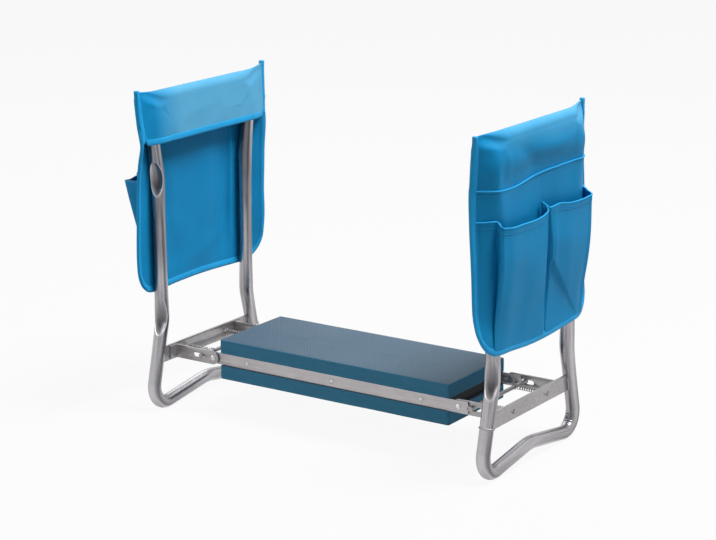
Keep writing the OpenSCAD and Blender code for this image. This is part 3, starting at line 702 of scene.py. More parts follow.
def bent_tube(side):
    """Bent tube: a ring of TUBE_R carried along the loop. A ring's point lies p outward from the
    loop and q along X. Each hollow, turned a little round the tube, holds p below a floor that
    rises with the square of the distance along the tube and across it, inside a raised lip, and
    the tube is spread beside it. Inside each foot bend the wall is wrinkled. Returns the grid,
    its coordinates on the tube before bending, and a mask of painted light: painted shade inside
    a hollow or, below zero, a painted highlight on its lip, both larger towards the hollow's lower end."""
    line = rounded_loop(CORNERS, RADII, 1.8 * MM)
    path = np.column_stack([np.full(len(line), side * FRAME_X), line])
    out = np.cross(heading(path, loop=True), ALONG_X)
    sides = 56
    a = round_turns(sides)
    p = np.broadcast_to(TUBE_R * np.cos(a), (len(line), sides))
    q = np.broadcast_to(TUBE_R * np.sin(a), (len(line), sides))
    along_tube = lengths(line)[:, None]
    along_tube = np.abs(along_tube - along_tube[-1] / 2)
    unbent = np.stack(np.broadcast_arrays(p, q, along_tube), -1)
    pressed = 0 * p
    for s in (-1, 1):
        for (y, z), depth, length, bow, turn in DISHES:
            cos, sin = math.cos(turn), -s * math.sin(turn)
            p, q = p * cos + q * sin, q * cos - p * sin
            along = beside(line, s * y, z)[:, None] / length
            floor = TUBE_R - depth * (1 - along**2) + q**2 / (2 * bow)
            lip = np.exp(-(((p - floor) / LIP_W) ** 2)) * np.exp(-(along**8))
            # Mask of painted light: painted shade inside the hollow, less a painted highlight on its lip,
            # stronger towards its lower end
            below = np.clip((p - floor) / (5 * MM), 0, 1) * (np.abs(along) < 1.5)
            lower = np.clip(0.55 - 0.5 * s * along, 0, 1)
            pressed = pressed + (below - lip) * lower * (depth / (7 * MM)) ** 2
            p = smaller(p, floor, 0.4 * MM) + LIP * lip
            q = q * (1 + 0.014 * depth / MM * np.exp(-(along**2)))
            p, q = p * cos - q * sin, q * cos + p * sin
        fold = beside(line, s * (FOOT_Y - 8 * MM), 14 * MM)[:, None]
        wave = 0.5 + 0.5 * np.cos(2 * math.pi * fold / WRINKLE_PITCH)
        inside = np.maximum(-np.cos(a), 0) ** 2
        p = p + WRINKLE * wave * np.exp(-((fold / (15 * MM)) ** 4)) * inside
    points = path[:, None] + p[..., None] * out[:, None] + q[..., None] * ALONG_X
    return points, unbent, pressed


def weld_beads(side):
    """Beads in the corners between crossbar and legs: tubes whose radius swells and shrinks
    along them."""
    grids = []
    for s in (-1, 1):
        lean = leg_way(s)
        inward = -s * np.cross(lean, ALONG_X)
        middle = leg_point(side, s, PIVOT_Z) + inward * (TUBE_R - 0.4 * MM)
        for face in (-1, 1):
            t = np.linspace(-1, 1, 60)[:, None]
            start = middle + face * (BAR_T / 2 + 0.3 * MM) * ALONG_X
            path = start + lean * t * (BAR_H / 2 - 1.5 * MM)
            lump = 1.9 * MM * np.sqrt(np.maximum(1 - t**6, 0.02)) * (1 + 0.16 * np.sin(19 * t + s + face))
            grids.append(swept(path, ALONG_X, lump, 12))
    return grids


def weld_ring(side):
    """Bead round the leg where the bent tube's two ends meet: a circle of the tube's radius,
    square to the leg, with a rippled round section."""
    lean = leg_way(-side)
    t = round_turns(96)[:, None]
    across = np.cos(t) * ALONG_X + np.sin(t) * np.cross(lean, ALONG_X)
    path = leg_point(side, -side, JOINT_Z) + TUBE_R * across
    ring = swept(path, lean, 1.3 * MM * (1 + 0.14 * np.sin(21 * t)), 12, loop=True)
    return np.concatenate([ring, ring[:1]])


def joined(name, grids, material, body, replaces=()):
    """One object from several grids: tubes with shut ends, or rings that meet themselves."""
    mesh = bmesh.new()
    for grid in grids:
        part = grid_object(name + "_part", grid, around=True, closed=not np.allclose(grid[0], grid[-1]))
        mesh.from_mesh(part.data)
        bpy.data.objects.remove(part)
    whole = bpy.data.meshes.new(name)
    bmesh.ops.remove_doubles(mesh, verts=mesh.verts, dist=1e-7)
    mesh.to_mesh(whole)
    mesh.free()
    return dress(added(name, whole), body, material, replaces)


def spring_line():
    """Centre line of a lock spring from the pivot, along the frame: a hook round the rod, a
    helix, and a tail that drops to the lower edge of the crossbar's hole, goes through it and
    turns down behind it."""
    reach, hook_r, coil_r = 20.8 * MM, 4.0 * MM, 3.1 * MM
    coil_0, coil_1, root = 25.8 * MM, 67.0 * MM, 71.0 * MM
    turns = 11
    a = np.radians(np.linspace(310, 96, 26))
    hook = np.stack([reach + hook_r * np.cos(a), 0 * a, hook_r * np.sin(a)], -1)
    t = np.linspace(0, 1, turns * 22)
    b = math.pi / 2 + 2 * math.pi * turns * t
    coil = np.stack([coil_0 + (coil_1 - coil_0) * t, coil_r * np.cos(b), coil_r * np.sin(b)], -1)
    drop = 1.75 * MM
    knots = [(0, coil_1, 0, coil_r), (1, coil_1 + 1.4 * MM, -coil_r / 3, 0.62 * coil_r),
             (2, coil_1 + 2.6 * MM, 0, -drop / 3), (3, root, 0, -drop), (4, root + 3.4 * MM, 0, -drop),
             (5, root + 4.2 * MM, 0, -drop - 0.6 * MM), (6, root + 4.4 * MM, 0, -drop - 2.4 * MM)]
    tail = through(knots, np.linspace(0.15, 6, 50))
    return np.concatenate([hook, coil, tail])


def lock_spring(side, place):
    """Round wire carried along the spring's line, from the rod to the crossbar."""
    end = END[side]
    name = f"{end}_{place}_spring"
    low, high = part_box(name)
    middle = (low.y + high.y) / 2
    line = evenly(spring_line(), 420)
    pivot_x = FRAME_X - 72.5 * MM
    path = np.stack([side * (pivot_x + line[:, 0]), middle + side * line[:, 1], PIVOT_Z + line[:, 2]], -1)
    wire = swept(path, np.array([0.62 * side, 0.78, 0.0]), 0.6 * MM, 10)
    spring = grid_object(name + "_wire", wire, around=True, closed=True)
    dress(spring, None, WIRE, [name])
    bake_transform(spring)


def make_end(side):
    """Tube, welds, plates and springs of one end."""
    end = END[side]
    body = end + "_frame"
    points, unbent, pressed = bent_tube(side)
    tube = grid_object(end + "_bent_tube", points, around=True, loop=True)
    # Attributes: the coordinates before bending, and the mask of painted shade and painted highlight in the
    # hollows
    for label, kind, field, values in (("unbent", "FLOAT_VECTOR", "vector", unbent),
                                       ("pressed", "FLOAT", "value", pressed)):
        note = tube.data.attributes.new(label, kind, "POINT")
        note.data.foreach_set(field, values.astype(np.float32).ravel())
    dress(tube, body, TUBE_STEEL, [end + "_frame_tube"])
    beads = weld_beads(side) + [weld_ring(side)]
    joined(end + "_welds", beads, WELD, body, [end + "_weld_beads"])
    for plate in ("crossbar", "front_arm", "rear_arm"):
        eased(f"{end}_{plate}", 0.3 * MM, PLATE_STEEL)
    for place in ("front", "rear"):
        lock_spring(side, place)


# Pouches

# Offset of the side edges from the frame's plane at heights above the floor, in millimetres
EDGES = {
    "right": {"front": [(181, 3.5), (205, 2.5), (240, -5), (300, -8.5), (350, -11.5), (405, -14), (440, -13),
                        (475, -10), (492, -7)],
              "rear": [(181, 3), (205, 1), (240, -2), (300, -3), (350, -4), (405, -8), (440, -10),
                       (475, -9), (492, -7.5)]},
    "left": {"front": [(181, 3), (205, 4), (240, 5.5), (300, 3.5), (350, 1), (385, -3), (410, -8),
                       (440, -3), (475, 1), (492, 1.5)],
             "rear": [(181, 4), (205, 0), (240, -4), (300, -4.5), (350, -6), (405, -9.5), (440, -8),
                      (475, -7), (492, -6.5)]},
}

# How high the ridge rises at its front and rear tip, and how far the panel's foot hangs below
# its corners' line in the middle
TIPS = {"right": (-1.5 * MM, 5.5 * MM), "left": (4.0 * MM, 9.5 * MM)}
BELLY = {"right": 6 * MM, "left": -4 * MM}

# Soft folds of the outer panel: middle y and z, direction from +Y in degrees, half length,
# half width and depth, in millimetres
FOLDS = {
    "right": [(-40, 446, -30, 34, 15, -2.0), (100, 452, 205, 34, 9, -1.0), (-118, 440, 84, 36, 9, 1.0),
              (-92, 436, 100, 26, 8, 0.7), (60, 300, 96, 90, 16, 0.8), (-60, 240, 80, 70, 18, -0.9)],
    "left": [(-60, 446, -30, 34, 15, -1.4), (96, 448, 210, 34, 10, -1.0), (20, 300, 84, 100, 22, -1.8),
             (-70, 260, 100, 80, 20, 1.3), (81, 325, 89, 90, 4.5, -5.0), (66, 300, 89, 90, 8, 2.6),
             (66, 250, 70, 60, 18, 1.4), (0, 220, 20, 80, 14, -1.0), (-66, 330, 96, 70, 16, -1.2)],
}


def folds(y, z, lines):
    """Sum of soft ridges and valleys, each depth * exp(-(across / width)^2) * exp(-(along / length)^4)."""
    total = np.zeros(np.broadcast(y, z).shape)
    for y0, z0, way, length, width, depth in lines:
        c, s = math.cos(math.radians(way)), math.sin(math.radians(way))
        along = ((y - y0 * MM) * c + (z - z0 * MM) * s) / (length * MM)
        across = ((z - z0 * MM) * c - (y - y0 * MM) * s) / (width * MM)
        total = total + depth * MM * np.exp(-(across**2)) * np.exp(-(along**4))
    return total


# Middle of the tube's bend under each end of the ridge, and the leg's line up to it
LEG_WAY = unit(np.array([TOP_Y - SHOULDER[0], TOP_Z - SHOULDER[1]]))
BEND_Y = TOP_Y - TOP_R * math.tan(math.acos(-LEG_WAY[0]) / 2)
BEND_Z = TOP_Z - TOP_R
LEG_LINE = [(WAIST_Z, WAIST_Y), SHOULDER[::-1],
            (BEND_Z - TOP_R * LEG_WAY[0], BEND_Y + TOP_R * LEG_WAY[1]), (BEND_Z, BEND_Y + TOP_R)]


class Pouch:
    """Cloth hood with a long outer panel. Its surfaces give points for half widths y and heights
    z; depths are distances from the frame's plane, outward."""

    def __init__(self, side):
        self.side = side
        self.end = END[side]
        self.body = self.end + "_pouch"

    def at(self, depth, y, z):
        """Points at a depth."""
        depth, y, z = np.broadcast_arrays(depth, y, z)
        return np.stack([self.side * (FRAME_X + depth), y, z], -1)

    def edge(self, y, z):
        """Depth of the nearer side edge at height z."""
        front, rear = (through(EDGES[self.end][k], z / MM)[..., 0] * MM for k in ("front", "rear"))
        share = ease(0.5 + y / (0.5 * POUCH_Y))
        return front + (rear - front) * share

    def ridge(self, y):
        """Height of the ridge: level over the bar and rising to each tip with the square of the
        distance."""
        front, rear = TIPS[self.end]
        rise = np.where(y < 0, front, rear)
        return COVER_TOP + rise * np.maximum((np.abs(y) - BAR_HALF) / (POUCH_Y - BAR_HALF), 0) ** 2

    def swell(self, y):
        """Half thickness of the hood at its ridge: the sleeve's over the bar, closed at the tips."""
        return 0.9 * MM + (SLEEVE - 0.9 * MM) * (1 - ease((np.abs(y) - 90 * MM) / (44 * MM)))

    def spine(self, y):
        """Depth of the middle of the ridge."""
        return self.edge(y, 0.489) * ease((np.abs(y) - 92 * MM) / (58 * MM))

    def hull(self, y, z, out):
        """Depth of cloth drawn from its sewn edge over the tube. Over the bar it follows the line
        from the edge that touches a circle of radius SLEEVE round the tube's middle, then that
        circle. Beside a leg it is the smaller of that line and a level, rounded and set a
        little further out, and it stays level inside the loop. t is the distance outside the
        tube's centre line, and far the edge's: along y beside a leg, along z over the bar, and
        along the radius round the bend between them."""
        wide = np.abs(y)
        up, aside = z - BEND_Z, wide - BEND_Y
        leg = np.interp(z, *np.transpose(LEG_LINE))
        high, past = np.maximum(up, 0.1 * MM), np.maximum(aside, 0.1 * MM)
        radius = np.hypot(high, past)
        ridge = self.ridge(y)
        to_side = (POUCH_Y - BEND_Y) * radius / past
        to_top = (ridge - BEND_Z) * radius / high
        side_z = np.where(up > 0, BEND_Z + (POUCH_Y - BEND_Y) * high / past, z)
        at_side = self.edge(y, np.minimum(side_z, COVER_TOP))
        at_top = self.spine(BEND_Y + (ridge - BEND_Z) * past / high) + 0 * z
        bend, bar = (up > 0) & (aside > 0), (up > 0) & (aside <= 0)
        t = np.select([bend, bar], [radius - TOP_R, up - TOP_R], wide - leg)
        corner = 22 * MM
        at_corner = smaller(to_side, to_top, corner) - TOP_R
        far = np.select([bend, bar], [at_corner, ridge - TOP_Z], POUCH_Y - leg)
        at_bend = at_side + (at_top - at_side) * ease(0.5 + 0.5 * (to_side - to_top) / corner)
        edge = np.select([bend, bar], [at_bend, 0 * at_top], at_side)
        edge = out * edge + 0.8 * MM * ease((z - FLAP_Z) / (10 * MM))
        legwise = np.select([bend, bar], [ease(1.5 * past / radius - 0.3), 0 * t], 1 + 0 * t)
        around = SLEEVE + LEG_GAP * legwise * ease(1 + t / (30 * MM))
        slope = np.arctan2(-edge, far) + np.arcsin(np.clip(around / np.hypot(far, edge), 0, 1))
        slope = np.minimum(slope, math.radians(85))
        circle = np.sqrt(np.maximum(around**2 - np.maximum(t, 0) ** 2, 0))
        tight = edge + (far - t) * np.tan(slope)
        drawn = np.where(t < around * np.sin(slope), circle, tight)
        eased_off = smaller(tight, around + 0 * t, 7 * MM)
        return out * (drawn + (eased_off - drawn) * legwise)

    def hang(self, y, z, out):
        """How far the cloth hangs in between the legs, less the outer layer's bulge below the
        ridge, or the inner flap's lean away from the tube."""
        between = np.cos(0.5 * math.pi * np.clip(y / BAR_HALF, -1, 1)) ** 1.5
        deep = (3.6 if out > 0 else 1.6) * MM * (1 - 0.8 * ease((0.38 - z) / 0.16))
        hollow = deep * between * ease((0.452 - z) / 0.03)
        flank = 1 - ease((np.abs(y) - 92 * MM) / (44 * MM))
        bulge = (3.4 + 1.6 * ease((y + 60 * MM) / (120 * MM))) * MM * flank
        if out > 0:
            return hollow - bulge * np.exp(-(((z - BULGE_Z) / BULGE_REACH) ** 2))
        inside = 1 - ease((np.abs(y) - 110 * MM) / (40 * MM))
        return hollow - FLAP_LEAN * ease((0.482 - z) / 0.07) * inside

    def shape(self, y, z, out):
        """Depth of a layer below the ridge, out = 1 for the outer one and -1 for the inner one:
        the hull, with the cloth's own hang, folds and waves, closed to the ridge at its top."""
        depth = self.hull(y, z, out)
        drop = ease((TOP_Z + 2 * MM - z) / (30 * MM))
        slack = ease((POUCH_Y - np.abs(y)) / (26 * MM))
        depth = depth - out * self.hang(y, z, out) * ease((TOP_Z + 8 * MM - z) / (14 * MM))
        if out > 0:
            depth = depth + folds(y, z, FOLDS[self.end]) * drop * slack
            depth = depth + waves(y, z, 11 + self.side, 0.07, 0.35 * MM) * drop
        else:
            depth = depth + waves(y, z, 21 + self.side, 0.05, 0.25 * MM) * drop
        swell = self.swell(y)
        top = self.spine(y) + out * swell
        fall = 2 * MM + 16 * MM * ease((np.abs(y) - 84 * MM) / (30 * MM))
        return top + (depth - top) * ease((self.ridge(y) - swell - z) / fall)

    def layer(self, out, lift=0.0):
        """Surface that lies lift outward of a layer."""
        return lambda y, z: self.at(self.shape(y, z, out) + lift, y, z)

    def back(self, y, z):
        """Points of the hindmost layer at the side seams: the inner flap, or below the flap the
        panel itself."""
        front = self.shape(y, z, 1)
        behind = self.shape(y, z, -1) - front
        return self.at(front + behind * ease((z - FLAP_Z) / (5 * MM)) + 0.7 * MM, y, z)

    def panel_foot(self, y):
        """Height of the panel's lower edge, with its rounded corners."""
        t = np.clip(np.abs(y) - (POUCH_Y - PANEL_R), 0, PANEL_R)
        belly = BELLY[self.end] * np.cos(0.5 * math.pi * np.clip(y / (125 * MM), -1, 1)) ** 2
        return PANEL_Z + PANEL_R - np.sqrt(np.maximum(PANEL_R**2 - t**2, 0)) - belly

    def flap_foot(self, y):
        """Height of the inner flap's lower edge, with its slanted corners."""
        w, h = FLAP_CUT
        return FLAP_Z + h * ease((np.abs(y) - (POUCH_Y - w)) / w * 0.5) * 2


def columns(n, half):
    """n half widths from -half to half, closer together towards the sides."""
    return half * np.sin(0.5 * math.pi * np.linspace(-1, 1, n))


def run(points):
    """Distances along the rows and the columns of a grid, as its cloth coordinates."""
    steps = np.linalg.norm(np.diff(points, axis=0), axis=-1)
    down = np.concatenate([np.zeros((1, points.shape[1])), np.cumsum(steps, 0)])
    across = lengths(points[points.shape[0] // 2])
    return np.stack([np.broadcast_to(across, down.shape), down], -1)


def cut_size(points):
    """Flat size of the cloth of a grid: its longest row and longest column, and its area as the
    sum of its quads, each half the product of its diagonals."""
    one, two = points[1:, 1:] - points[:-1, :-1], points[1:, :-1] - points[:-1, 1:]
    area = 0.5 * np.linalg.norm(np.cross(one, two), axis=-1).sum()
    rows = np.linalg.norm(np.diff(points, axis=1), axis=-1).sum(1)
    columns_down = np.linalg.norm(np.diff(points, axis=0), axis=-1).sum(0)
    return (float(rows.max()), float(columns_down.max())), float(area)


def cloth(pouch, name, points, node, finish=POUCH_CLOTH):
    """Sheet of cloth on a grid of points, with its thickness, which stands for a node of the
    pouch. Its flat size and area are worked out but not used."""
    sheet = grid_object(f"{pouch.end}_{name}", points, run(points))
    solid = sheet.modifiers.new("thickness", "SOLIDIFY")
    solid.thickness = CLOTH_T
    solid.offset = 0
    dress(sheet, pouch.body, finish, [f"{pouch.end}_{node}"])
    flat, area = cut_size(points)
    return sheet


def cover_points(pouch):
    """Grid of the cover: up the inner flap, over the ridge in a half circle of the ridge's half
    thickness, and down the outer panel to its rounded foot."""
    y = columns(161, POUCH_Y)[None, :]
    swell, spine, ridge = pouch.swell(y), pouch.spine(y), pouch.ridge(y)
    centre = ridge - swell
    t = np.linspace(0, 1, 40)[:-1, None]
    z = pouch.flap_foot(y) + (centre - pouch.flap_foot(y)) * t
    flap = pouch.layer(-1)(y, z)
    a = np.linspace(0, math.pi, 19)[:, None]
    arc = pouch.at(spine - swell * np.cos(a), y, centre + swell * np.sin(a))
    t = np.linspace(0, 1, 150)[1:, None]
    z = centre + (pouch.panel_foot(y) - centre) * t
    return np.concatenate([flap, arc, pouch.layer(1)(y, z)])


def flat_pocket_mouth(y):
    """Height of the flat pocket's bound edge, which sags a little to the front."""
    return 414.2 * MM - 6.5 * MM * np.exp(-(((y + 76 * MM) / (56 * MM)) ** 2)) + 1.3 * MM * y / POUCH_Y


def flat_pocket_points(pouch):
    """Grid of the flat pocket, a layer outside the panel, a little open at its mouth."""
    y = columns(121, POUCH_Y - 0.8 * MM)[None, :]
    t = np.linspace(0, 1, 90)[:, None]
    foot = pouch.panel_foot(y) + 1 * MM
    z = foot + (flat_pocket_mouth(y) - foot) * t
    gape = 0.8 * MM * ease((t - 0.85) / 0.15) * np.sin(math.pi * np.abs(y) / POUCH_Y) ** 2
    return pouch.layer(1, LAYER + gape)(y, z)


# The gusset pockets are one sheet, pleated at both sides and in the middle. Each place along it
# has at the mouth its half width, its distance from the frame's plane and its height, at the
# foot its half width and its distance from the flat pocket, in millimetres, then the share of
# the height at which it starts to open, the share over which it opens, and how far it swings
# along Y between mouth and foot, in millimetres.
PLEATS = [
    (-149, -11.5, 369, -149, 0.5, 0.4, 0.6, 0), (-143, -8, 369, -143, 0.5, 0.5, 0.5, 0),
    (-136, 1, 369, -136, 0.5, 0.5, 0.5, 0), (-127, 8.5, 369, -119, 0.5, 0.62, 0.38, 0),
    (-119.5, 12.5, 368, -108, 0.5, 0.68, 0.32, 2), (-119, 15, 366.5, -111, 0.9, 0.5, 0.5, 1),
    (-122.5, 20, 364, -121.5, 1.4, 0.0, 0.8, 0), (-120.5, 22.5, 361.5, -119, 1.7, 0.0, 0.8, 0),
    (-111, 24.3, 359.5, -109, 1.7, 0.0, 0.8, 0), (-66, 24, 356.5, -66, 1.7, 0.0, 0.78, 0),
    (-17, 22.5, 356, -16, 1.7, 0.0, 0.78, 0), (-3, 22, 358.5, 5, 1.7, 0.0, 0.8, -3),
    (2, 22, 361.5, 10.5, 1.5, 0.0, 0.85, -4.5), (3, 19.5, 366, 12.5, 1.0, 0.3, 0.7, -3),
    (-2, 14, 373.5, 10, 0.5, 0.7, 0.3, 0), (2, 14.5, 371.5, 15, 0.5, 0.7, 0.3, 1),
    (4.5, 19, 367, 14, 1.0, 0.3, 0.7, 3), (6, 22, 365, 16, 1.5, 0.0, 0.85, 5),
    (12, 23, 365, 21, 1.7, 0.0, 0.8, 3.5), (30, 23.5, 366, 33, 1.7, 0.0, 0.78, 0),
    (58, 25, 362, 58, 1.7, 0.0, 0.76, 0), (88, 25, 360, 88, 1.7, 0.0, 0.76, 0),
    (114, 24, 360, 112, 1.7, 0.0, 0.76, 0), (127, 22.5, 361, 121, 1.4, 0.0, 0.8, 0),
    (130, 19, 362.5, 112, 0.9, 0.4, 0.6, 0), (131, 15, 363.5, 107, 0.5, 0.6, 0.4, 0),
    (137, 7, 366, 122, 0.5, 0.5, 0.5, 0), (142, -3.5, 368, 143, 0.5, 0.5, 0.5, 0),
    (149, -7, 369, 149, 0.5, 0.4, 0.6, 0)]


def gusset_surface(pouch):
    """Surface of the pleated sheet for a distance along its mouth and a height share t: from
    the mouth to the foot it draws near to the flat pocket, each place by its own eased share.
    Beside the middle pleat a slanted crease parts a facet that lies lower."""
    table = np.array(PLEATS, float)
    if pouch.side < 0:
        table = table[::-1] * [-1, 1, 1, -1, 1, 1, 1, -1]
        pulled = ease((-table[:, 0] - 60) / 60) * (table[:, 1] > 12)
        aside = (table[:, 0] < -60) * (1 - pulled)
        table[:, :3] += np.stack([-6 * pulled, 21 * pulled, 6 * aside - 9 * pulled], -1)
        table[:, 5:7] += np.stack([0.22 * pulled, 0.22 * pulled], -1)
    along = lengths(table[:, :3])
    knots = np.column_stack([along, table])

    def surface(s, t):
        at = through(knots, s / MM)
        y_top, o_top, z_top, y_foot, p_foot, start, span, swing = np.moveaxis(at, -1, 0)
        limit = POUCH_Y / MM - 0.5
        y_top, y_foot = np.clip(y_top, -limit, limit) * MM, np.clip(y_foot, -limit, limit) * MM
        open_top = np.maximum(o_top * MM - pouch.shape(y_top, z_top * MM, 1) - LAYER, 0.5 * MM)
        full = ease((t - start) / span)
        y = y_foot + (y_top - y_foot) * t + 4 * swing * MM * t * (1 - t)
        foot = pouch.panel_foot(y_foot) + 4 * MM
        z = foot + (z_top * MM - foot) * t
        lift = p_foot * MM + (open_top - p_foot * MM) * full
        own = y * pouch.side
        crease = (own - 22 * MM) * 0.74 + (z - 280 * MM) * 0.67
        facet = 1 - ease(crease / (5 * MM) + 0.5)
        facet = facet * ease((own - 13 * MM) / (7 * MM)) * ease((o_top - 21) / 2)
        lift = lift * (1 - 0.45 * facet * ease(t / 0.1))
        return pouch.at(pouch.shape(np.clip(y, -POUCH_Y, POUCH_Y), z, 1) + LAYER + lift, y, z)

    return surface, along[-1] * MM


def normals(surface, a, b, step_b):
    """Unit normals of a surface by its slopes in both parameters."""
    da = surface(a + STEP, b) - surface(a - STEP, b)
    db = surface(a, b + step_b) - surface(a, b - step_b)
    return unit(np.cross(da, db))


def tape_points(surface, a, b, da, db, width, thick, out, under=None, step_b=STEP):
    """Grid of a tape folded over an edge of a surface, or of two that are sewn together there.
    The edge is the line (a, b), and (da, db) points from it into the cloth. The section is a
    flat oval with a groove for its stitches."""
    u = np.concatenate([np.linspace(0, 1, 9), np.linspace(1, 0, 9)[1:-1]])
    top = np.concatenate([np.ones(9), -np.ones(7)])
    oval = (1 - np.abs(2 * u - 1) ** 4) ** 0.5
    groove = 1 - 0.35 * np.exp(-(((u - 0.78) / 0.08) ** 2))
    a, b, da, db, width = (value[:, None] for value in np.broadcast_arrays(a, b, da, db, width))
    reach = (width + 0.5 * MM) * u - 0.5 * MM
    aa, bb = a + da * reach, b + db * reach
    lift = (out * thick * top * oval * groove)[None, :, None] * normals(surface, aa, bb, step_b)
    face = surface(aa, bb) + lift
    if under is None:
        return face
    return np.where(top[None, :, None] > 0, face, under(aa, bb) + lift)


def stitch_points(surface, a, b, lift, out, step_b=STEP):
    """Short stitches along the line (a, b) of a surface: flat spindles of one length, pitch apart."""
    pitch, length = 3.6 * MM, 2.8 * MM
    a, b = np.broadcast_arrays(a, b)
    s = lengths(surface(a, b))
    count = int(s[-1] / pitch)
    mid = (np.arange(count) + 0.5) * s[-1] / count
    t = np.array([-0.5, -0.3, 0, 0.3, 0.5])
    at = mid[:, None] + t[None] * length
    aa, bb = np.interp(at, s, a), np.interp(at, s, b)
    centre = surface(aa, bb)
    up = out * normals(surface, aa, bb, step_b)
    way = unit(np.gradient(centre, axis=1))
    side = np.cross(up, way)
    ring = round_turns(6)
    fat = np.array([0.25, 0.9, 1, 0.9, 0.25])[None, :, None, None]
    rise = (lift + 0.12 * MM * (1 - (2 * t) ** 2))[None, :, None, None]
    round_it = np.cos(ring)[None, None, :, None] * side[:, :, None] * 0.28 * MM
    round_it = round_it + np.sin(ring)[None, None, :, None] * up[:, :, None] * 0.22 * MM
    return centre[:, :, None] + rise * up[:, :, None] + fat * round_it


def panel_outline(pouch, inset=0.0, n=420):
    """Half widths, heights and inward directions along the panel's edge: down the front side,
    round the foot's corners and up the rear side, to the tips of the hood."""
    r, (front, rear) = PANEL_R, TIPS[pouch.end]
    a = np.linspace(0, math.pi / 2, 30)
    low = np.linspace(-1, 1, 40)[1:-1] * (POUCH_Y - r)
    y = np.concatenate([r - POUCH_Y - r * np.cos(a), low, POUCH_Y - r + r * np.sin(a)])
    foot = np.stack([y, pouch.panel_foot(y)], -1)
    tips = [[(s * POUCH_Y, COVER_TOP + rise + 1.2 * MM)] for s, rise in ((-1, front), (1, rear))]
    line = evenly(np.concatenate([tips[0], foot, tips[1]]), n)
    way = heading(line)
    inward = np.stack([-way[:, 1], way[:, 0]], -1)
    line = line + inward * inset
    return line[:, 0], line[:, 1], inward[:, 0], inward[:, 1]


def make_pouch(side):
    """Cover, pockets, bindings and stitches of one pouch."""
    pouch = Pouch(side)
    end, body = pouch.end, pouch.body
    cover = cloth(pouch, "hood_and_panel", cover_points(pouch), "pouch_cover",
                  HOOD_CLOTH)
    cloth(pouch, "flat_pocket_cloth", flat_pocket_points(pouch), "flat_pocket")
    gusset, reach = gusset_surface(pouch)
    points = gusset(np.linspace(0, reach, 380)[None, :], np.linspace(0, 1, 80)[:, None])
    squashed = [cloth(pouch, "gusset_cloth", points, "gusset_pockets")]

    def tape(name, *line, material=BINDING_TAPE, replaces=(), **given):
        """Tape along a line of a surface, with a size: line is what tape_points asks for."""
        points = tape_points(*line, side, **given)
        made = grid_object(f"{end}_{name}", points, run(points), around=True, closed=True)
        return dress(made, body, material, replaces)

    y, z, dy, dz = panel_outline(pouch)
    wide = TAPE_W - 4 * MM * np.abs(dy)
    tape("edge_binding", pouch.layer(1, 1.2 * MM), y, z, dy, dz, wide, 2.2 * MM,
         replaces=[end + "_pouch_binding"], under=pouch.back)
    half = POUCH_Y - 1 * MM
    y = np.linspace(-half, half, 200)
    mouth = flat_pocket_mouth(y)
    tape("flap_binding", pouch.layer(-1), y, pouch.flap_foot(y), 0, 1, FLAP_TAPE_W, TAPE_T)
    tape("flat_pocket_binding", pouch.layer(1, LAYER + 0.4 * MM), y, mouth, 0, -1, 2.4 * MM, TAPE_T)
    s = np.linspace(1 * MM, reach - 1 * MM, 620)
    hem = gusset, s, 1, 0, -1 / GUSSET_H
    squashed += [tape("gusset_hem", *hem, HEM_W, 0.8 * MM, material=POUCH_CLOTH, step_b=STEP_T),
                 tape("gusset_binding", *hem, 2.2 * MM, 1.3 * MM, step_b=STEP_T)]

    edge_y, edge_z, dy, dz = panel_outline(pouch, inset=TAPE_W - 4.4 * MM)
    over = pouch.layer(1, LAYER)
    seam = np.linspace(372 * MM, 412 * MM, 60)
    lines = [stitch_points(pouch.layer(1, 1.2 * MM), edge_y, edge_z, 2.0 * MM, side),
             stitch_points(over, y, mouth - 7 * MM, 0.45 * MM, side),
             stitch_points(over, 5 * MM, seam, 0.45 * MM, side)]
    joined(end + "_stitches", np.concatenate(lines), THREAD, body)
    row = stitch_points(gusset, s, 1 - HEM_ROW / GUSSET_H, 0.9 * MM, side, step_b=STEP_T)
    squashed.append(joined(end + "_hem_stitches", row, THREAD, body))
    if side < 0:
        for piece in squashed:
            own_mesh(piece)


# Studio

# Share of plain white that the floor shows, and strength of the soft light from all sides
FLOOR_WHITE, AMBIENT = 0.93, 0.14


def looked_at(tree):
    """1 for the rays that see the surroundings, which are the camera's, the glossy and the
    transmitted ones, and 0 for those that light the object."""
    rays = new_node(tree, "LightPath", {})
    seen = maths(tree, "ADD", rays["Is Camera Ray"], rays["Is Glossy Ray"])
    return maths(tree, "ADD", seen, rays["Is Transmission Ray"], clamp=True)


def make_stage():
    """Pale floor that shows as white, with a faint shadow."""
    reach = [-30.0, 30.0]
    grid = np.stack([*np.meshgrid(reach, reach), np.zeros((2, 2))], -1)
    floor = grid_object("floor", grid)
    material = bpy.data.materials.new("floor_white")
    material.use_nodes = True
    tree = material.node_tree
    tree.nodes.clear()
    diffuse = new_node(tree, "BsdfDiffuse", {"Color": (0.5, 0.5, 0.5, 1)})[0]
    share = maths(tree, "MULTIPLY", looked_at(tree), FLOOR_WHITE)
    blend = new_node(tree, "MixShader", {0: share, 1: diffuse, 2: new_node(tree, "Emission", {})[0]})
    new_node(tree, "OutputMaterial", {"Surface": blend[0]})
    floor.data.materials.append(material)
    floor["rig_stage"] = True


def make_world():
    """White round the object for what looks at it, and a plain soft light from all sides."""
    world = bpy.data.worlds.new("studio")
    bpy.context.scene.world = world
    world.use_nodes = True
    tree = world.node_tree
    tree.nodes.clear()
    spread = new_node(tree, "MapRange", {"Value": looked_at(tree), "To Min": AMBIENT, "To Max": 1.0})
    shine = new_node(tree, "Background", {"Strength": spread["Result"]})
    new_node(tree, "OutputWorld", {"Surface": shine[0]})


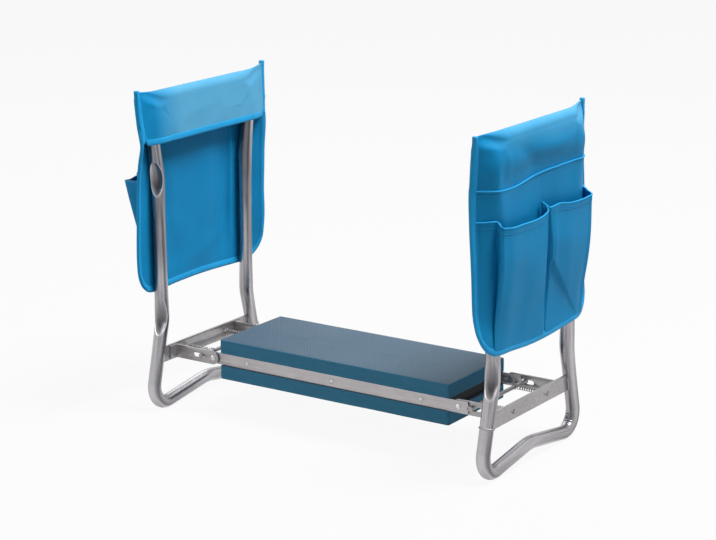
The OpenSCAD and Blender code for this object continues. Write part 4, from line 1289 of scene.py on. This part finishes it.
def make_lamp(name, place, size, power):
    """Square soft lamp that faces the middle of the object."""
    data = bpy.data.lights.new(name, "AREA")
    data.shape = "SQUARE"
    data.size = size
    data.energy = power
    lamp = added(name, data)
    lamp.location = place
    aim = Vector((0, 0, 0.2)) - lamp.location
    lamp.rotation_mode = "QUATERNION"
    lamp.rotation_quaternion = aim.to_track_quat("-Z", "Y")


def make_camera():
    """Camera at the place and turn that were fitted to the photograph's pads, rails and frames:
    yaw left of +Y, pitch below the horizon and roll about the line of sight."""
    yaw, pitch, roll = (math.radians(turn) for turn in (33.875, 14.704, -0.163))
    photo_width, focal = 716, 2172.7
    data = bpy.data.cameras.new("camera")
    data.sensor_width = 36
    data.lens = focal / photo_width * data.sensor_width
    data.clip_start, data.clip_end = 0.1, 60
    camera = added("camera", data)
    camera.location = (1.70007, -2.53735, 1.03469)
    turn = Matrix.Rotation(yaw, 3, "Z") @ Matrix.Rotation(math.pi / 2 - pitch, 3, "X")
    camera.rotation_mode = "QUATERNION"
    camera.rotation_quaternion = (turn @ Matrix.Rotation(roll, 3, "Z")).to_quaternion()
    bpy.context.scene.camera = camera


def dress_cad():
    """Materials of the CAD pieces that stay as they are."""
    finishes = {"platform_board": BOARD, "front_rail_screws": BRIGHT, "rear_rail_screws": BRIGHT}
    kinds = {"pivot_rivets": BRIGHT, "pivot_washers": BRIGHT,
             "arm_rivets": PLATE_STEEL, "lock_rod": PLATE_STEEL}
    for end in END.values():
        finishes.update({f"{end}_{label}": material for label, material in kinds.items()})
    for name, material in finishes.items():
        NODES[name].data.materials.clear()
        NODES[name].data.materials.append(material)


make_camera()
make_stage()
make_world()
make_lamp("key", (1.15, 0.5, 3.1), 1.3, 134)
make_lamp("fill", (-1.4, -2.8, 1.7), 1.6, 24)
make_lamp("back", (-1.8, 1.6, 2.0), 1.6, 12)
dress_cad()
make_platform()
for end_side in END:
    make_end(end_side)
    make_pouch(end_side)

bpy.context.scene.view_settings.view_transform = "Standard"
boxes = {"cad": cad_box, "visual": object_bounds()}
{name: [list(corner) for corner in box] for name, box in boxes.items()}
